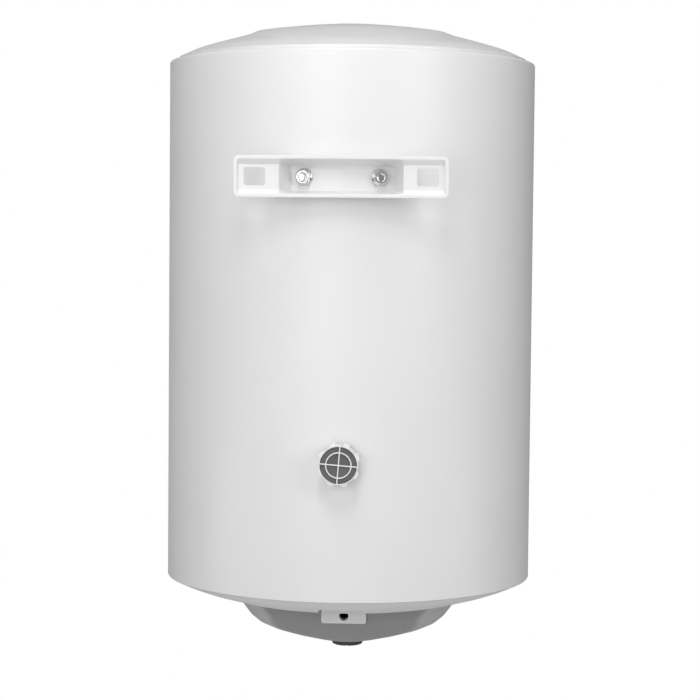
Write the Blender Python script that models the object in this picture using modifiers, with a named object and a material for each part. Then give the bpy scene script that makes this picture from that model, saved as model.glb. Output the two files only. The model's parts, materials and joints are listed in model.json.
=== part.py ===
"""Wall-hung electric storage water heater, 80 litre class, in metres with +Z up.

The wall is the plane y = 0 and the heater hangs in front of it, towards -Y. The origin is on the
hanging bracket's upper rim. Every piece is parented to one empty on the tank's axis, at the height of
the seam between the jacket and the bottom pan, so the sizes below read from that axis and that seam.
"""

import math

import bmesh
import bpy
import numpy as np
from mathutils import Matrix, Vector

GAP = 0.0003             # between pieces that touch
MERGE = 0.00001
ROUND_STEPS = 36         # facets round the jacket and everything that meets it
PART_STEPS = 22
SPACER_STEPS = 40
SMALL_STEPS = 10
CUTTER_TURN = math.radians(7)

# Jacket
JACKET_R = 0.225
JACKET_H = 0.632
SHEET = 0.0008
JACKET_BEND = 0.004
JACKET_LIP = 0.020
WALL_STAND_OFF = 0.025
AXIS_TO_WALL = JACKET_R + WALL_STAND_OFF

# Top cap, heights above the jacket
CAP_R = JACKET_R - 0.0105
CAP_WALL = 0.0025
CAP_BAND = 0.0043
CAP_SPIGOT = 0.006
SPIGOT_CLEARANCE = 0.001
CAP_STEP_R = CAP_R - 0.0815
CAP_CROWN = ((0.0, 0.0483), (CAP_STEP_R / 2, 0.0423), (CAP_STEP_R - 0.015, 0.0354), (CAP_STEP_R, 0.0320),
             (CAP_STEP_R + 0.017, 0.0262), (CAP_R - 0.0245, 0.0150), (CAP_R - 0.0095, CAP_BAND * 2))


# Flange under the tank
FLANGE_BOLTS = 5
FLANGE_BOLT_CIRCLE = 0.056
FLANGE_BOLT_R = 0.004
FLANGE_BOLT_REACH = 0.009
RING_R = FLANGE_BOLT_CIRCLE + FLANGE_BOLT_R + 0.0025
GASKET_R = FLANGE_BOLT_CIRCLE - FLANGE_BOLT_R - 0.002
GASKET_THICK = 0.003
RING_BORE_R = GASKET_R - 0.006
PLATE_THICK = 0.005
HEX_ACROSS = 0.013
HEX_HEIGHT = 0.0055

# Control cover
COVER_WALL = 0.0025
COVER_BOTTOM = -0.0850
COVER_BOWL = ((0.1355, -0.0310), (0.1325, -0.0360), (0.1290, -0.0411), (0.1220, -0.0500), (0.1130, -0.0577),
              (0.0980, -0.0647), (0.0760, -0.0718), (0.0450, -0.0803), (0.0230, COVER_BOTTOM))
COVER_RIM_R = 0.139
FACET_Y = 0.092
FACET_BEND_Z = -0.0424
FACET_TILT = math.radians(42.5)
COVER_SCREW_X = 0.100
COVER_POST_R = 0.0065
COUNTERBORE_R = 0.0048
COVER_SCREW_SEAT = -0.0335

# Bottom pan, a shallow bowl round the cover's flat seat
PAN_WALL = 0.002
PAN_DEPTH = 0.0256
PAN_FLAT_R = COVER_RIM_R + 0.013
PAN_OPENING_R = RING_R + 0.0045
PAN_SPIGOT = 0.012
PAN_BOWL_STEPS = 6
PAN_BOWL_POWER = 0.8
CHANNEL_HALF = 0.0285
CHANNEL_END_Y = JACKET_R - 0.035
CHANNEL_SLOPE = 0.17

# Cable entry, on the cover's wall-side facet
ENTRY_WIDTH = 0.0544
ENTRY_TOP = -0.0315
ENTRY_BOTTOM = -0.0484
ENTRY_FACE_Y = FACET_Y + 0.0035
ENTRY_DEPTH = 0.0145
ENTRY_HOLE_R = 0.0053
ENTRY_HOLE_Z = -0.0396
ENTRY_CORNER = 0.002
SADDLE_HALF = 0.016
SADDLE_REACH = 0.012
CLAMP_HALF = 0.015
CLAMP_THICK = 0.003
CLAMP_SCREW_X = 0.011

# Hanging bracket, a pressed tray whose open side is on the wall
BRACKET_WIDTH = 0.2415
BRACKET_HEIGHT = 0.0468
BRACKET_TOP = JACKET_H - 0.1233
BRACKET_SHEET = 0.002
BRACKET_RIM = 0.0038
BRACKET_CORNER = 0.006
BRACKET_PAD_DEPTH = 0.005
BRACKET_PAD_INNER = 0.070
BRACKET_POCKET = 0.0575
WALL_DRAFT_TOP = 0.0060
WALL_DRAFT_BOTTOM = 0.0045
POCKET_DRAFT_TOP = 0.0100
WINDOW_WIDTH = 0.0246
WINDOW_HEIGHT = 0.0204
WINDOW_X = 0.0975
WINDOW_CORNER = 0.003
HANG_Z = BRACKET_TOP - BRACKET_RIM / 2

# Bolts that hold the bracket
BOLT_X = 0.0424
BOLT_R = 0.004
BOLT_CLEARANCE = 0.0005
BOLT_FLANGE_R = 0.010
BOLT_FLANGE = 0.0015
BOLT_HEAD_ACROSS = 0.014
BOLT_HEAD = 0.0065
DISH_R = 0.005
DISH_FLOOR_R = 0.0036
DISH_DEPTH = 0.002
DISH_TOP = 0.02
BOLT_SEAT_R = 0.0125
BOSS_R = 0.010
BOSS_END_CLEARANCE = 0.0012

# Screw-out spacer that rests on the wall
SPACER_Z = 0.1608
SPACER_R = 0.0224
SPACER_LENGTH = WALL_STAND_OFF - 0.005
SPACER_LOBE_R = 0.0036
SPACER_LOBE_REACH = SPACER_R + 0.0028
SPACER_LOBE_ANGLES = tuple(math.radians(a) for a in (27.2, 70.0, 111.0, 153.8, 207.2, 250.0, 291.0, 333.8))
SPACER_THREAD_R = 0.015
THREAD_CLEARANCE = 0.0004
SPACER_CUP_R = SPACER_R - 0.0012
SPACER_CUP_DEPTH = 0.0048
SPACER_RIB = 0.0013
SPACER_RIB_DEPTH = 0.0018
SPACER_RIB_SET_BACK = 0.0002
SPACER_LOBE_SET_BACK = 0.0004
SPACER_RING_R = 0.0144
SPACER_REST_TURN = math.radians(-4.5)
SPACER_CORE_END = AXIS_TO_WALL - 0.009
PAD_THICK = 0.0022
PAD_STEM = 0.006
SOCKET_STEM_R = 0.008
TANK_R = JACKET_R - 0.020
SOCKET_STEM_END = TANK_R + 0.005

# Water tank and its insulation
TANK_WALL = 0.002
TANK_LOW = 0.010
TANK_HIGH = JACKET_H + 0.018
TANK_DOME = 0.070
TANK_MOUTH_R = GASKET_R
FOAM_GAP = 0.0004
FOAM_MOUTH_R = RING_R + 0.0075
FOAM_LOW = 0.004
FOAM_SIDE_CLEARANCE = 0.0009

# Pieces that pass through the flange plate
ELEMENT_R = 0.0042
ELEMENT_LEG = (0.022, 0.006)
ELEMENT_BACK = (0.009, 0.026)
ELEMENT_TOP = 0.290
ELEMENT_LOW_BEND = 0.060
ELEMENT_END = -0.0150
ELEMENT_BEND_POINTS = 6
TERMINAL_R = 0.0018
TERMINAL_END = -0.0235
ANODE_XY = (0.0, -0.028)
ANODE_R = 0.011
ANODE_LENGTH = 0.270
ANODE_STUD_R = 0.004
WELL_XY = (0.0, 0.004)
WELL_R = 0.0052
WELL_BORE_R = 0.0041
WELL_TOP = 0.300
WELL_MOUTH = -0.0150
BULB_R = 0.003
BULB_TOP = 0.240
CAPILLARY_R = 0.0012

# Water pipes
PIPE_X = 0.050
PIPE_R = 0.0105
PIPE_BORE_R = PIPE_R - 0.003
COLLAR_R = PIPE_R + 0.006
COLLAR_THICK = 0.006
COLLAR_CLEARANCE = 0.0015
PIPE_Y = -(FACET_Y + COLLAR_R + COLLAR_CLEARANCE)
PIPE_LOW = -0.050
PIPE_HIGH = 0.055
PIPE_CLEARANCE = 0.0005
RISER_R = PIPE_BORE_R - 0.0004
RISER_BORE_R = RISER_R - 0.0013
RISER_LOW = 0.025
RISER_TOP_CLEARANCE = 0.010
DIFFUSER_WALL = 0.0022
DIFFUSER_HEIGHT = 0.026

# Controls inside the cover
STRIP_HALF = PAN_OPENING_R + 0.013
STRIP_FOOT = 0.011
STRIP_WIDTH = 0.036
STRIP_SHEET = 0.0015
STRIP_Z = -0.0345
THERMOSTAT_SIZE = (0.046, 0.034, 0.030)
BUSH_R = 0.005
SPINDLE_R = 0.003
SPINDLE_CLEARANCE = 0.0001
SPINDLE_TOP = -0.058
SPINDLE_LOW = -0.0885
KNOB_R = 0.0195
KNOB_THICK = 0.0060
KNOB_GAP = 0.0005
POINTER_HALF = 0.001
POINTER_DEPTH = 0.0008
CUTOUT_X = 0.047
CUTOUT_SIZE = (0.020, 0.020, 0.015)
BUTTON_R = 0.003
BUTTON_LENGTH = 0.009
BUTTON_PROUD = 0.005
TERMINAL_BLOCK_X = -0.047
TERMINAL_BLOCK_SIZE = (0.024, 0.034, 0.014)
LAMP_Z = -0.0360
LENS_R = 0.005
LAMP_R = 0.0034
LAMP_LENGTH = 0.015
WIRE_R = 0.0012
WIRE_POINTS = 10
WIRE_END_GAP = 0.0010
SCREW_SHANK_R = 0.002
SCREW_HEAD_R = 0.0040
SCREW_HEAD = 0.0025
SCREW_SLOT = 0.0008
SCREW_HOLE_CLEARANCE = 0.0003

for old in list(bpy.data.objects):
    bpy.data.objects.remove(old, do_unlink=True)

heater = bpy.data.collections.new("tank_water_heater")
construction = bpy.data.collections.new("construction")
bpy.context.scene.collection.children.link(heater)
bpy.context.scene.collection.children.link(construction)

axis_empty = bpy.data.objects.new("heater_axis", None)
axis_empty.location = (0.0, -AXIS_TO_WALL, -HANG_Z)
heater.objects.link(axis_empty)


def finish(name, colour, roughness, metallic=0.0):
    made = bpy.data.materials.new(name)
    made.use_nodes = True
    shader = made.node_tree.nodes["Principled BSDF"]
    shader.inputs["Base Color"].default_value = (*colour, 1.0)
    shader.inputs["Roughness"].default_value = roughness
    shader.inputs["Metallic"].default_value = metallic
    return made


WHITE_PAINT = finish("white_paint", (0.86, 0.86, 0.86), 0.45)
WHITE_PLASTIC = finish("white_plastic", (0.83, 0.83, 0.83), 0.40)
BRACKET_PAINT = finish("bracket_paint", (0.88, 0.88, 0.88), 0.50)
GREY_PLASTIC = finish("grey_plastic", (0.30, 0.30, 0.30), 0.45)
PALE_GREY_PLASTIC = finish("pale_grey_plastic", (0.55, 0.55, 0.55), 0.45)
KNOB_PLASTIC = finish("knob_plastic", (0.08, 0.08, 0.08), 0.40)
PAD_RUBBER = finish("pad_rubber", (0.05, 0.05, 0.05), 0.70)
ZINC = finish("zinc_plate", (0.62, 0.62, 0.63), 0.35, 1.0)
STEEL = finish("steel", (0.45, 0.45, 0.47), 0.45, 1.0)
ENAMEL = finish("tank_enamel", (0.05, 0.09, 0.14), 0.30)
FOAM = finish("foam", (0.80, 0.68, 0.40), 0.90)
COPPER = finish("copper", (0.72, 0.38, 0.22), 0.35, 1.0)
BRASS = finish("brass", (0.70, 0.55, 0.25), 0.35, 1.0)
MAGNESIUM = finish("magnesium", (0.55, 0.55, 0.54), 0.60, 1.0)
SEAL_RUBBER = finish("seal_rubber", (0.03, 0.03, 0.03), 0.60)
BLUE_PLASTIC = finish("blue_plastic", (0.03, 0.14, 0.60), 0.40)
RED_PLASTIC = finish("red_plastic", (0.60, 0.03, 0.03), 0.40)
BLACK_PLASTIC = finish("black_plastic", (0.03, 0.03, 0.03), 0.45)
AMBER_PLASTIC = finish("amber_plastic", (0.85, 0.35, 0.05), 0.20)
WIRE_BROWN = finish("wire_brown", (0.25, 0.10, 0.04), 0.50)
WIRE_BLUE = finish("wire_blue", (0.04, 0.15, 0.50), 0.50)
WIRE_GREEN = finish("wire_green", (0.10, 0.40, 0.08), 0.50)


def new_object(name, mesh, material, location=(0.0, 0.0, 0.0), rotation=None):
    """A part of the heater, or a hidden construction solid where there is no material."""
    made = bpy.data.objects.new(name, mesh)
    made.parent = axis_empty
    made.location = location
    if rotation is not None:
        made.rotation_euler = rotation.to_euler()
    if material is None:
        made.hide_render = True
        made.display_type = "WIRE"
        construction.objects.link(made)
    else:
        mesh.materials.append(material)
        heater.objects.link(made)
    return made


def towards(direction):
    """The turn that lays an object's own Z axis along the direction."""
    return Vector(direction).to_track_quat("Z", "Y").to_matrix()


def turned(name, profile, material, steps=PART_STEPS, location=(0.0, 0.0, 0.0), rotation=None):
    """A profile of (radius, height) points turned round Z. It runs down the outer side, and is closed unless
    both of its ends are on the axis."""
    count = len(profile)
    edges = [(i, i + 1) for i in range(count - 1)]
    if profile[0][0] > 0.0 or profile[-1][0] > 0.0:
        edges.append((count - 1, 0))
    mesh = bpy.data.meshes.new(name)
    mesh.from_pydata([(radius, 0.0, height) for radius, height in profile], edges, [])
    made = new_object(name, mesh, material, location, rotation)
    screw = made.modifiers.new("turn", "SCREW")
    screw.axis = "Z"
    screw.steps = steps
    screw.render_steps = steps
    screw.use_merge_vertices = True
    screw.merge_threshold = MERGE
    screw.use_smooth_shade = True
    return made


def rod(name, radius, low, high, material, steps=SMALL_STEPS, location=(0.0, 0.0, 0.0), rotation=None):
    """A round bar along its own Z. A construction bar is turned a little, so that none of its edges lies in
    the edges of what it cuts or joins."""
    if material is None:
        rotation = (rotation or Matrix.Identity(3)) @ Matrix.Rotation(CUTTER_TURN, 3, "Z")
    profile = ((0.0, high), (radius, high), (radius, low), (0.0, low))
    return turned(name, profile, material, steps, location, rotation)


def ring(name, bore, radius, low, high, material, steps=PART_STEPS, location=(0.0, 0.0, 0.0), rotation=None):
    profile = ((bore, high), (radius, high), (radius, low), (bore, low))
    return turned(name, profile, material, steps, location, rotation)


def box(name, low, high, material):
    """A box between two corners, with its origin at its centre."""
    low = Vector(low)
    high = Vector(high)
    mesh = bpy.data.meshes.new(name)
    work = bmesh.new()
    bmesh.ops.create_cube(work, size=1.0, matrix=Matrix.Diagonal((*(high - low), 1.0)))
    work.to_mesh(mesh)
    work.free()
    return new_object(name, mesh, material, (low + high) / 2)


def solid_from_outline(name, outline, thickness, material, location, rotation):
    """A flat outline in its own XY plane, centred on its thickness."""
    curve = bpy.data.curves.new(name, "CURVE")
    curve.dimensions = "2D"
    curve.fill_mode = "BOTH"
    curve.extrude = thickness / 2
    spline = curve.splines.new("POLY")
    spline.points.add(len(outline) - 1)
    for point, (across, up) in zip(spline.points, outline):
        point.co = (across, up, 0.0, 1.0)
    spline.use_cyclic_u = True
    return mesh_object_from_curve(name, curve, material, location, rotation)


def mesh_object_from_curve(name, curve, material, location=(0.0, 0.0, 0.0), rotation=None):
    drawn = bpy.data.objects.new(name + "_curve", curve)
    construction.objects.link(drawn)
    graph = bpy.context.evaluated_depsgraph_get()
    mesh = bpy.data.meshes.new_from_object(drawn.evaluated_get(graph))
    bpy.data.objects.remove(drawn, do_unlink=True)
    work = bmesh.new()
    work.from_mesh(mesh)
    bmesh.ops.remove_doubles(work, verts=work.verts, dist=MERGE)
    bmesh.ops.recalc_face_normals(work, faces=work.faces)
    work.to_mesh(mesh)
    work.free()
    mesh.name = name
    return new_object(name, mesh, material, location, rotation)


def rounded_outline(width, height, corner, points=3):
    """A rectangle with round corners, centred on its own origin."""
    outline = []
    for turn, (across, up) in enumerate(((1, 1), (-1, 1), (-1, -1), (1, -1))):
        centre_x = across * (width / 2 - corner)
        centre_y = up * (height / 2 - corner)
        for i in range(points + 1):
            angle = (turn + i / points) * math.pi / 2
            outline.append((centre_x + corner * math.cos(angle), centre_y + corner * math.sin(angle)))
    return outline


def tube(name, route, radius, material):
    """A round bar along a smooth route through the given points."""
    curve = bpy.data.curves.new(name, "CURVE")
    curve.dimensions = "3D"
    curve.bevel_depth = radius
    curve.bevel_resolution = 2
    curve.use_fill_caps = True
    spline = curve.splines.new("POLY")
    spline.points.add(len(route) - 1)
    for point, place in zip(spline.points, route):
        point.co = (*place, 1.0)
    return mesh_object_from_curve(name, curve, material)


def smooth_route(corners, count=WIRE_POINTS):
    """Evenly spread points on a Catmull-Rom curve through the corners."""
    ends = [np.array(corner) for corner in corners]
    ends = [2 * ends[0] - ends[1], *ends, 2 * ends[-1] - ends[-2]]
    spans = len(corners) - 1
    route = []
    for i in range(count):
        place = i / (count - 1) * spans
        span = min(int(place), spans - 1)
        t = place - span
        before, start, end, after = ends[span:span + 4]
        curve = 2 * start + (end - before) * t + (2 * before - 5 * start + 4 * end - after) * t ** 2
        route.append(tuple((curve + (3 * start - before - 3 * end + after) * t ** 3) / 2))
    return route


def combine(piece, other, operation="DIFFERENCE"):
    modifier = piece.modifiers.new(other.name, "BOOLEAN")
    modifier.operation = operation
    modifier.object = other
    modifier.solver = "EXACT"


def hexagon_radius(across):
    return across / 2 / math.cos(math.pi / 6)


def hex_bolt(name, across, head, shank_radius, shank, material, location, rotation=None, flange=None):
    """A bolt whose head starts at its origin and points along +Z. Its shank runs to -Z."""
    head_start = 0.0 if flange is None else flange[1] / 2
    piece = rod(name, hexagon_radius(across), head_start, head, material, 6, location, rotation)
    stem = rod(name + "_shank", shank_radius, -shank, head / 2, None, SMALL_STEPS, location, rotation)
    combine(piece, stem, "UNION")
    if flange is not None:
        washer = rod(name + "_flange", flange[0], 0.0, flange[1], None, PART_STEPS, location, rotation)
        combine(piece, washer, "UNION")
    return piece


def pan_screw(name, material, location, shank, way=1):
    """A slotted screw. From its seat at the location its shank runs up and its head hangs down, or the other
    way up where way is -1."""
    profile = [(0.0, shank), (SCREW_SHANK_R, shank), (SCREW_SHANK_R, 0.0), (SCREW_HEAD_R, 0.0),
               (SCREW_HEAD_R, -SCREW_HEAD * 0.6), (SCREW_HEAD_R * 0.6, -SCREW_HEAD), (0.0, -SCREW_HEAD)]
    if way < 0:
        profile = [(radius, -height) for radius, height in reversed(profile)]
    piece = turned(name, profile, material, SMALL_STEPS, location)
    half = Vector((SCREW_HEAD_R * 0.8, SCREW_SLOT / 2, SCREW_HEAD / 2))
    middle = Vector(location) - Vector((0.0, 0.0, way * SCREW_HEAD * 1.05))
    combine(piece, box(name + "_slot", middle - half, middle + half, None))


def dome_height(radius, across, height):
    """Height of a half ellipse above its base, at a distance from its middle."""
    return height * math.sqrt(max(0.0, 1.0 - (across / radius) ** 2))


def pan_bowl():
    """Points down the pan's underside, from just inside the jacket to its flat."""
    places = []
    for i in range(1, PAN_BOWL_STEPS + 1):
        share = (i / PAN_BOWL_STEPS) ** 1.5
        radius = JACKET_R + (PAN_FLAT_R - JACKET_R) * share
        places.append((radius, -PAN_DEPTH * share ** PAN_BOWL_POWER))
    return places


def pan_surface_z(radius):
    """Height of the pan's underside at a distance from the axis."""
    rings = sorted(((JACKET_R, 0.0), *pan_bowl()))
    return float(np.interp(radius, [place[0] for place in rings], [place[1] for place in rings]))


# ---- Casing ----

def jacket_profile():
    bend = [math.pi / 2 * i / 3 for i in range(4)]
    centre_r = JACKET_R - JACKET_BEND
    centre_z = JACKET_H - JACKET_BEND
    inner_bend = JACKET_BEND - SHEET
    outer = [(centre_r + JACKET_BEND * math.sin(a), centre_z + JACKET_BEND * math.cos(a)) for a in bend]
    inner = [(centre_r + inner_bend * math.sin(a),
              centre_z + inner_bend * math.cos(a)) for a in reversed(bend)]
    lip_r = JACKET_R - JACKET_LIP
    return [(lip_r, JACKET_H), *outer, (JACKET_R, 0.0), (JACKET_R - SHEET, 0.0), *inner, (lip_r,
                                                                                          JACKET_H - SHEET)]


def bolt_direction(side):
    turn = math.asin(BOLT_X / JACKET_R)
    return Vector((side * math.sin(turn), math.cos(turn), 0.0))


def radial_hole(name, radius, low, high, direction, height):
    return rod(name, radius, low, high, None, SMALL_STEPS, (0.0, 0.0, height), towards(direction))


BOLT_Z = BRACKET_TOP - BRACKET_HEIGHT / 2
SIDES = (("left", -1), ("right", 1))

jacket = turned("jacket", jacket_profile(), WHITE_PAINT, ROUND_STEPS)
for side_name, side in SIDES:
    hole = radial_hole("jacket_bolt_hole_" + side_name, BOLT_R + BOLT_CLEARANCE, 0.9 * JACKET_R,
                       1.1 * JACKET_R, bolt_direction(side), BOLT_Z)
    combine(jacket, hole)
combine(jacket, radial_hole("jacket_spacer_hole", SOCKET_STEM_R + BOLT_CLEARANCE, 0.9 * JACKET_R,
                            1.1 * JACKET_R, (0, 1, 0), SPACER_Z))

cap_lip_r = JACKET_R - JACKET_LIP
spigot_r = cap_lip_r - SPIGOT_CLEARANCE
cap_inner = [(radius, height - CAP_WALL) for radius, height in CAP_CROWN if radius < spigot_r - 2 * CAP_WALL]
cap_profile = [*CAP_CROWN, (CAP_R, CAP_BAND), (CAP_R, GAP), (CAP_R - CAP_WALL, GAP),
               (CAP_R - CAP_WALL, CAP_BAND - CAP_WALL / 2), (spigot_r, CAP_BAND), (spigot_r, -CAP_SPIGOT),
               (spigot_r - CAP_WALL, -CAP_SPIGOT), (spigot_r - CAP_WALL, CAP_BAND + CAP_WALL / 2),
               *reversed(cap_inner)]
top_cap = turned("top_cap", cap_profile, WHITE_PLASTIC, ROUND_STEPS, (0.0, 0.0, JACKET_H))


def channel_cutter(name, grow):
    """Everything under the sloping floor of the cable channel, grown by a wall where the inside is cut. The
    floor meets the bowl at the channel's end and stays under it beyond."""
    start_y = 0.9 * PAN_OPENING_R
    far_y = 1.2 * JACKET_R
    start_z, far_z = (pan_surface_z(CHANNEL_END_Y) + grow + (y - CHANNEL_END_Y) * CHANNEL_SLOPE
                      for y in (start_y, far_y))
    low_z = -3 * PAN_DEPTH
    outline = ((far_y, far_z), (start_y, start_z), (start_y, low_z), (far_y, low_z))
    across = Matrix(((0.0, 0.0, 1.0), (1.0, 0.0, 0.0), (0.0, 1.0, 0.0)))
    return solid_from_outline(name, outline, 2 * (CHANNEL_HALF + grow), None, (0.0, 0.0, 0.0), across)


spigot_outer = JACKET_R - SHEET - 2 * GAP
pan_outer = [(PAN_OPENING_R, PAN_SPIGOT), (spigot_outer, PAN_SPIGOT), (spigot_outer, -GAP), (JACKET_R, -GAP),
             *pan_bowl(), (PAN_OPENING_R, -PAN_DEPTH)]
pan_inner = [(0.0, 2 * PAN_SPIGOT), (spigot_outer - PAN_WALL, 2 * PAN_SPIGOT), (spigot_outer - PAN_WALL, 0.0),
             *((radius - PAN_WALL / 2, height + PAN_WALL) for radius, height in pan_bowl()[2:]),
             (0.0, PAN_WALL - PAN_DEPTH)]
bottom_pan = turned("bottom_pan", pan_outer, WHITE_PLASTIC, ROUND_STEPS)
pan_hollow = turned("pan_hollow", pan_inner, None, ROUND_STEPS)
combine(pan_hollow, channel_cutter("channel_inside", PAN_WALL))
combine(bottom_pan, channel_cutter("channel_outside", 0.0))
combine(bottom_pan, pan_hollow)

# ---- Control cover ----

def facet_cutter(name, facing, inset):
    """What lies outside the cover's flat side: an upright plane that leans inwards below a bend."""
    normal = (math.cos(FACET_TILT), -math.sin(FACET_TILT))
    plane_y = FACET_Y - inset
    lean_start = (FACET_Y - inset * normal[0], FACET_BEND_Z - inset * normal[1])
    bend_z = lean_start[1] + (plane_y - lean_start[0]) / math.tan(FACET_TILT)
    low_z = 1.2 * COVER_BOTTOM
    low_y = plane_y - (bend_z - low_z) * math.tan(FACET_TILT)
    outline = ((plane_y, 0.0), (plane_y, bend_z), (low_y, low_z), (2 * FACET_Y, low_z), (2 * FACET_Y, 0.0))
    across = Matrix(((0.0, 0.0, 1.0), (facing, 0.0, 0.0), (0.0, 1.0, 0.0)))
    outline = outline if facing > 0 else tuple(reversed(outline))
    return solid_from_outline(name, outline, 4 * COVER_RIM_R, None, (0.0, 0.0, 0.0), across)


cover_rim_z = -PAN_DEPTH - GAP
bowl_outer = [(0.0, cover_rim_z), (COVER_RIM_R, cover_rim_z), *COVER_BOWL, (0.0, COVER_BOTTOM)]
bowl_inner = [(0.0, 0.0), (COVER_RIM_R - COVER_WALL, 0.0), (COVER_RIM_R - COVER_WALL, cover_rim_z)]
for (radius, height), (next_radius, next_height) in zip(COVER_BOWL[1:], COVER_BOWL[2:]):
    lean = math.atan2(radius - next_radius, height - next_height)
    bowl_inner.append((radius - COVER_WALL * math.cos(lean), height + COVER_WALL * math.sin(lean)))
bowl_inner += [(COVER_BOWL[-1][0] - COVER_WALL / 4, COVER_BOTTOM + COVER_WALL), (0.0,
                                                                                 COVER_BOTTOM + COVER_WALL)]
control_cover = turned("control_cover", bowl_outer, GREY_PLASTIC, ROUND_STEPS)
cover_hollow = turned("cover_hollow", bowl_inner, None, ROUND_STEPS)
for facing_name, facing in (("front", -1), ("wall", 1)):
    combine(control_cover, facet_cutter("facet_" + facing_name, facing, 0.0))
    combine(cover_hollow, facet_cutter("facet_inside_" + facing_name, facing, COVER_WALL))
for side_name, side in SIDES:
    place = (side * COVER_SCREW_X, 0.0, 0.0)
    combine(cover_hollow, rod("cover_post_" + side_name, COVER_POST_R, 1.1 * COVER_BOTTOM, 0.01, None,
                              PART_STEPS, place))
combine(control_cover, cover_hollow)
screw_hole_r = SCREW_SHANK_R + SCREW_HOLE_CLEARANCE
for side_name, side in SIDES:
    place = (side * COVER_SCREW_X, 0.0, 0.0)
    combine(control_cover, rod("counterbore_" + side_name, COUNTERBORE_R, 1.2 * COVER_BOTTOM,
                               COVER_SCREW_SEAT, None, SMALL_STEPS, place))
    screw_hole = rod("cover_screw_hole_" + side_name, screw_hole_r, 1.2 * COVER_BOTTOM, 0.0, None,
                     SMALL_STEPS, place)
    combine(control_cover, screw_hole)
    combine(bottom_pan, screw_hole)
    pan_screw("cover_screw_" + side_name, ZINC, (place[0], 0.0, COVER_SCREW_SEAT - GAP),
              -COVER_SCREW_SEAT - PAN_DEPTH / 2)
combine(control_cover, rod("spindle_hole", BUSH_R + GAP, 1.2 * COVER_BOTTOM, 0.9 * COVER_BOTTOM, None,
                           SMALL_STEPS))

# ---- Cable entry ----

entry_height = ENTRY_TOP - ENTRY_BOTTOM
entry_centre = (0.0, ENTRY_FACE_Y - ENTRY_DEPTH / 2, (ENTRY_TOP + ENTRY_BOTTOM) / 2)
facing_wall = Matrix(((1.0, 0.0, 0.0), (0.0, 0.0, -1.0), (0.0, 1.0, 0.0)))
cable_entry = solid_from_outline("cable_entry", rounded_outline(ENTRY_WIDTH, entry_height, ENTRY_CORNER),
                                 ENTRY_DEPTH, PALE_GREY_PLASTIC, entry_centre, facing_wall)
entry_cutter = solid_from_outline("entry_cutter", rounded_outline(ENTRY_WIDTH + 2 * GAP,
                                                                  entry_height + 2 * GAP,
                                                                  ENTRY_CORNER + GAP),
                                  4 * ENTRY_DEPTH, None, entry_centre, facing_wall)
combine(control_cover, entry_cutter)
entry_inner_y = ENTRY_FACE_Y - ENTRY_DEPTH
saddle = box("cable_saddle", (-SADDLE_HALF, entry_inner_y - SADDLE_REACH, ENTRY_BOTTOM + GAP),
             (SADDLE_HALF, entry_inner_y + ENTRY_DEPTH / 4, ENTRY_BOTTOM + CLAMP_THICK), None)
combine(cable_entry, saddle, "UNION")
cable_bore = rod("cable_bore", ENTRY_HOLE_R, -ENTRY_DEPTH, ENTRY_DEPTH, None, PART_STEPS,
                 (0.0, entry_centre[1], ENTRY_HOLE_Z), towards((0, 1, 0)))
combine(cable_entry, cable_bore)
clamp_y = entry_inner_y - SADDLE_REACH / 2
clamp_top = ENTRY_HOLE_Z + ENTRY_HOLE_R + CLAMP_THICK + 2 * GAP
cable_clamp = box("cable_clamp", (-CLAMP_HALF, clamp_y - CLAMP_THICK, clamp_top - CLAMP_THICK),
                  (CLAMP_HALF, clamp_y + CLAMP_THICK, clamp_top), WHITE_PLASTIC)
clamp_screw_reach = clamp_top - ENTRY_BOTTOM
for side_name, side in SIDES:
    place = (side * CLAMP_SCREW_X, clamp_y, clamp_top + GAP)
    clamp_hole = rod("clamp_hole_" + side_name, screw_hole_r, -2 * clamp_screw_reach, 0.01, None,
                     SMALL_STEPS, place)
    combine(cable_clamp, clamp_hole)
    combine(cable_entry, clamp_hole)
    pan_screw("clamp_screw_" + side_name, ZINC, place, clamp_screw_reach, -1)

# ---- Hanging bracket ----

def tray_ring(half_width, corner, top, bottom, depth):
    """Points round the tray at one level. top, bottom and depth are functions of x."""
    stops = [BRACKET_PAD_INNER, BRACKET_POCKET, 0.046, 0.0345, 0.023, 0.0115]
    stations = [-x for x in stops] + [0.0] + list(reversed(stops))
    end = half_width - corner
    points = [(x, top(x)) for x in stations]
    for side, sign in ((1, 1), (-1, -1)):
        arc = [math.pi / 2 * i / 3 for i in range(4)]
        upper = [(side * (end + corner * math.sin(a)), top(end) - corner + corner * math.cos(a)) for a in arc]
        lower = [(side * (end + corner * math.cos(a)),
                  bottom(end) + corner - corner * math.sin(a)) for a in arc]
        if side > 0:
            points += upper + lower + [(x, bottom(x)) for x in reversed(stations)]
        else:
            points += list(reversed(lower)) + list(reversed(upper))
    return [Vector((x, -depth(x), z)) for x, z in points]


def pocket_share(x):
    """0 on the end pads, 1 over the deep middle pocket."""
    return min(1.0, max(0.0, (BRACKET_PAD_INNER - abs(x)) / (BRACKET_PAD_INNER - BRACKET_POCKET)))


floor_radius = JACKET_R + GAP + BRACKET_SHEET
half_height = BRACKET_HEIGHT / 2


def floor_depth(x):
    deep = AXIS_TO_WALL - math.sqrt(floor_radius ** 2 - x ** 2)
    return BRACKET_PAD_DEPTH + (deep - BRACKET_PAD_DEPTH) * pocket_share(x)


def rim_top(x):
    return half_height - BRACKET_RIM


def floor_top(x):
    return half_height - BRACKET_RIM - WALL_DRAFT_TOP - (POCKET_DRAFT_TOP - WALL_DRAFT_TOP) * pocket_share(x)


def floor_bottom(x):
    return -half_height + BRACKET_RIM + WALL_DRAFT_BOTTOM


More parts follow.
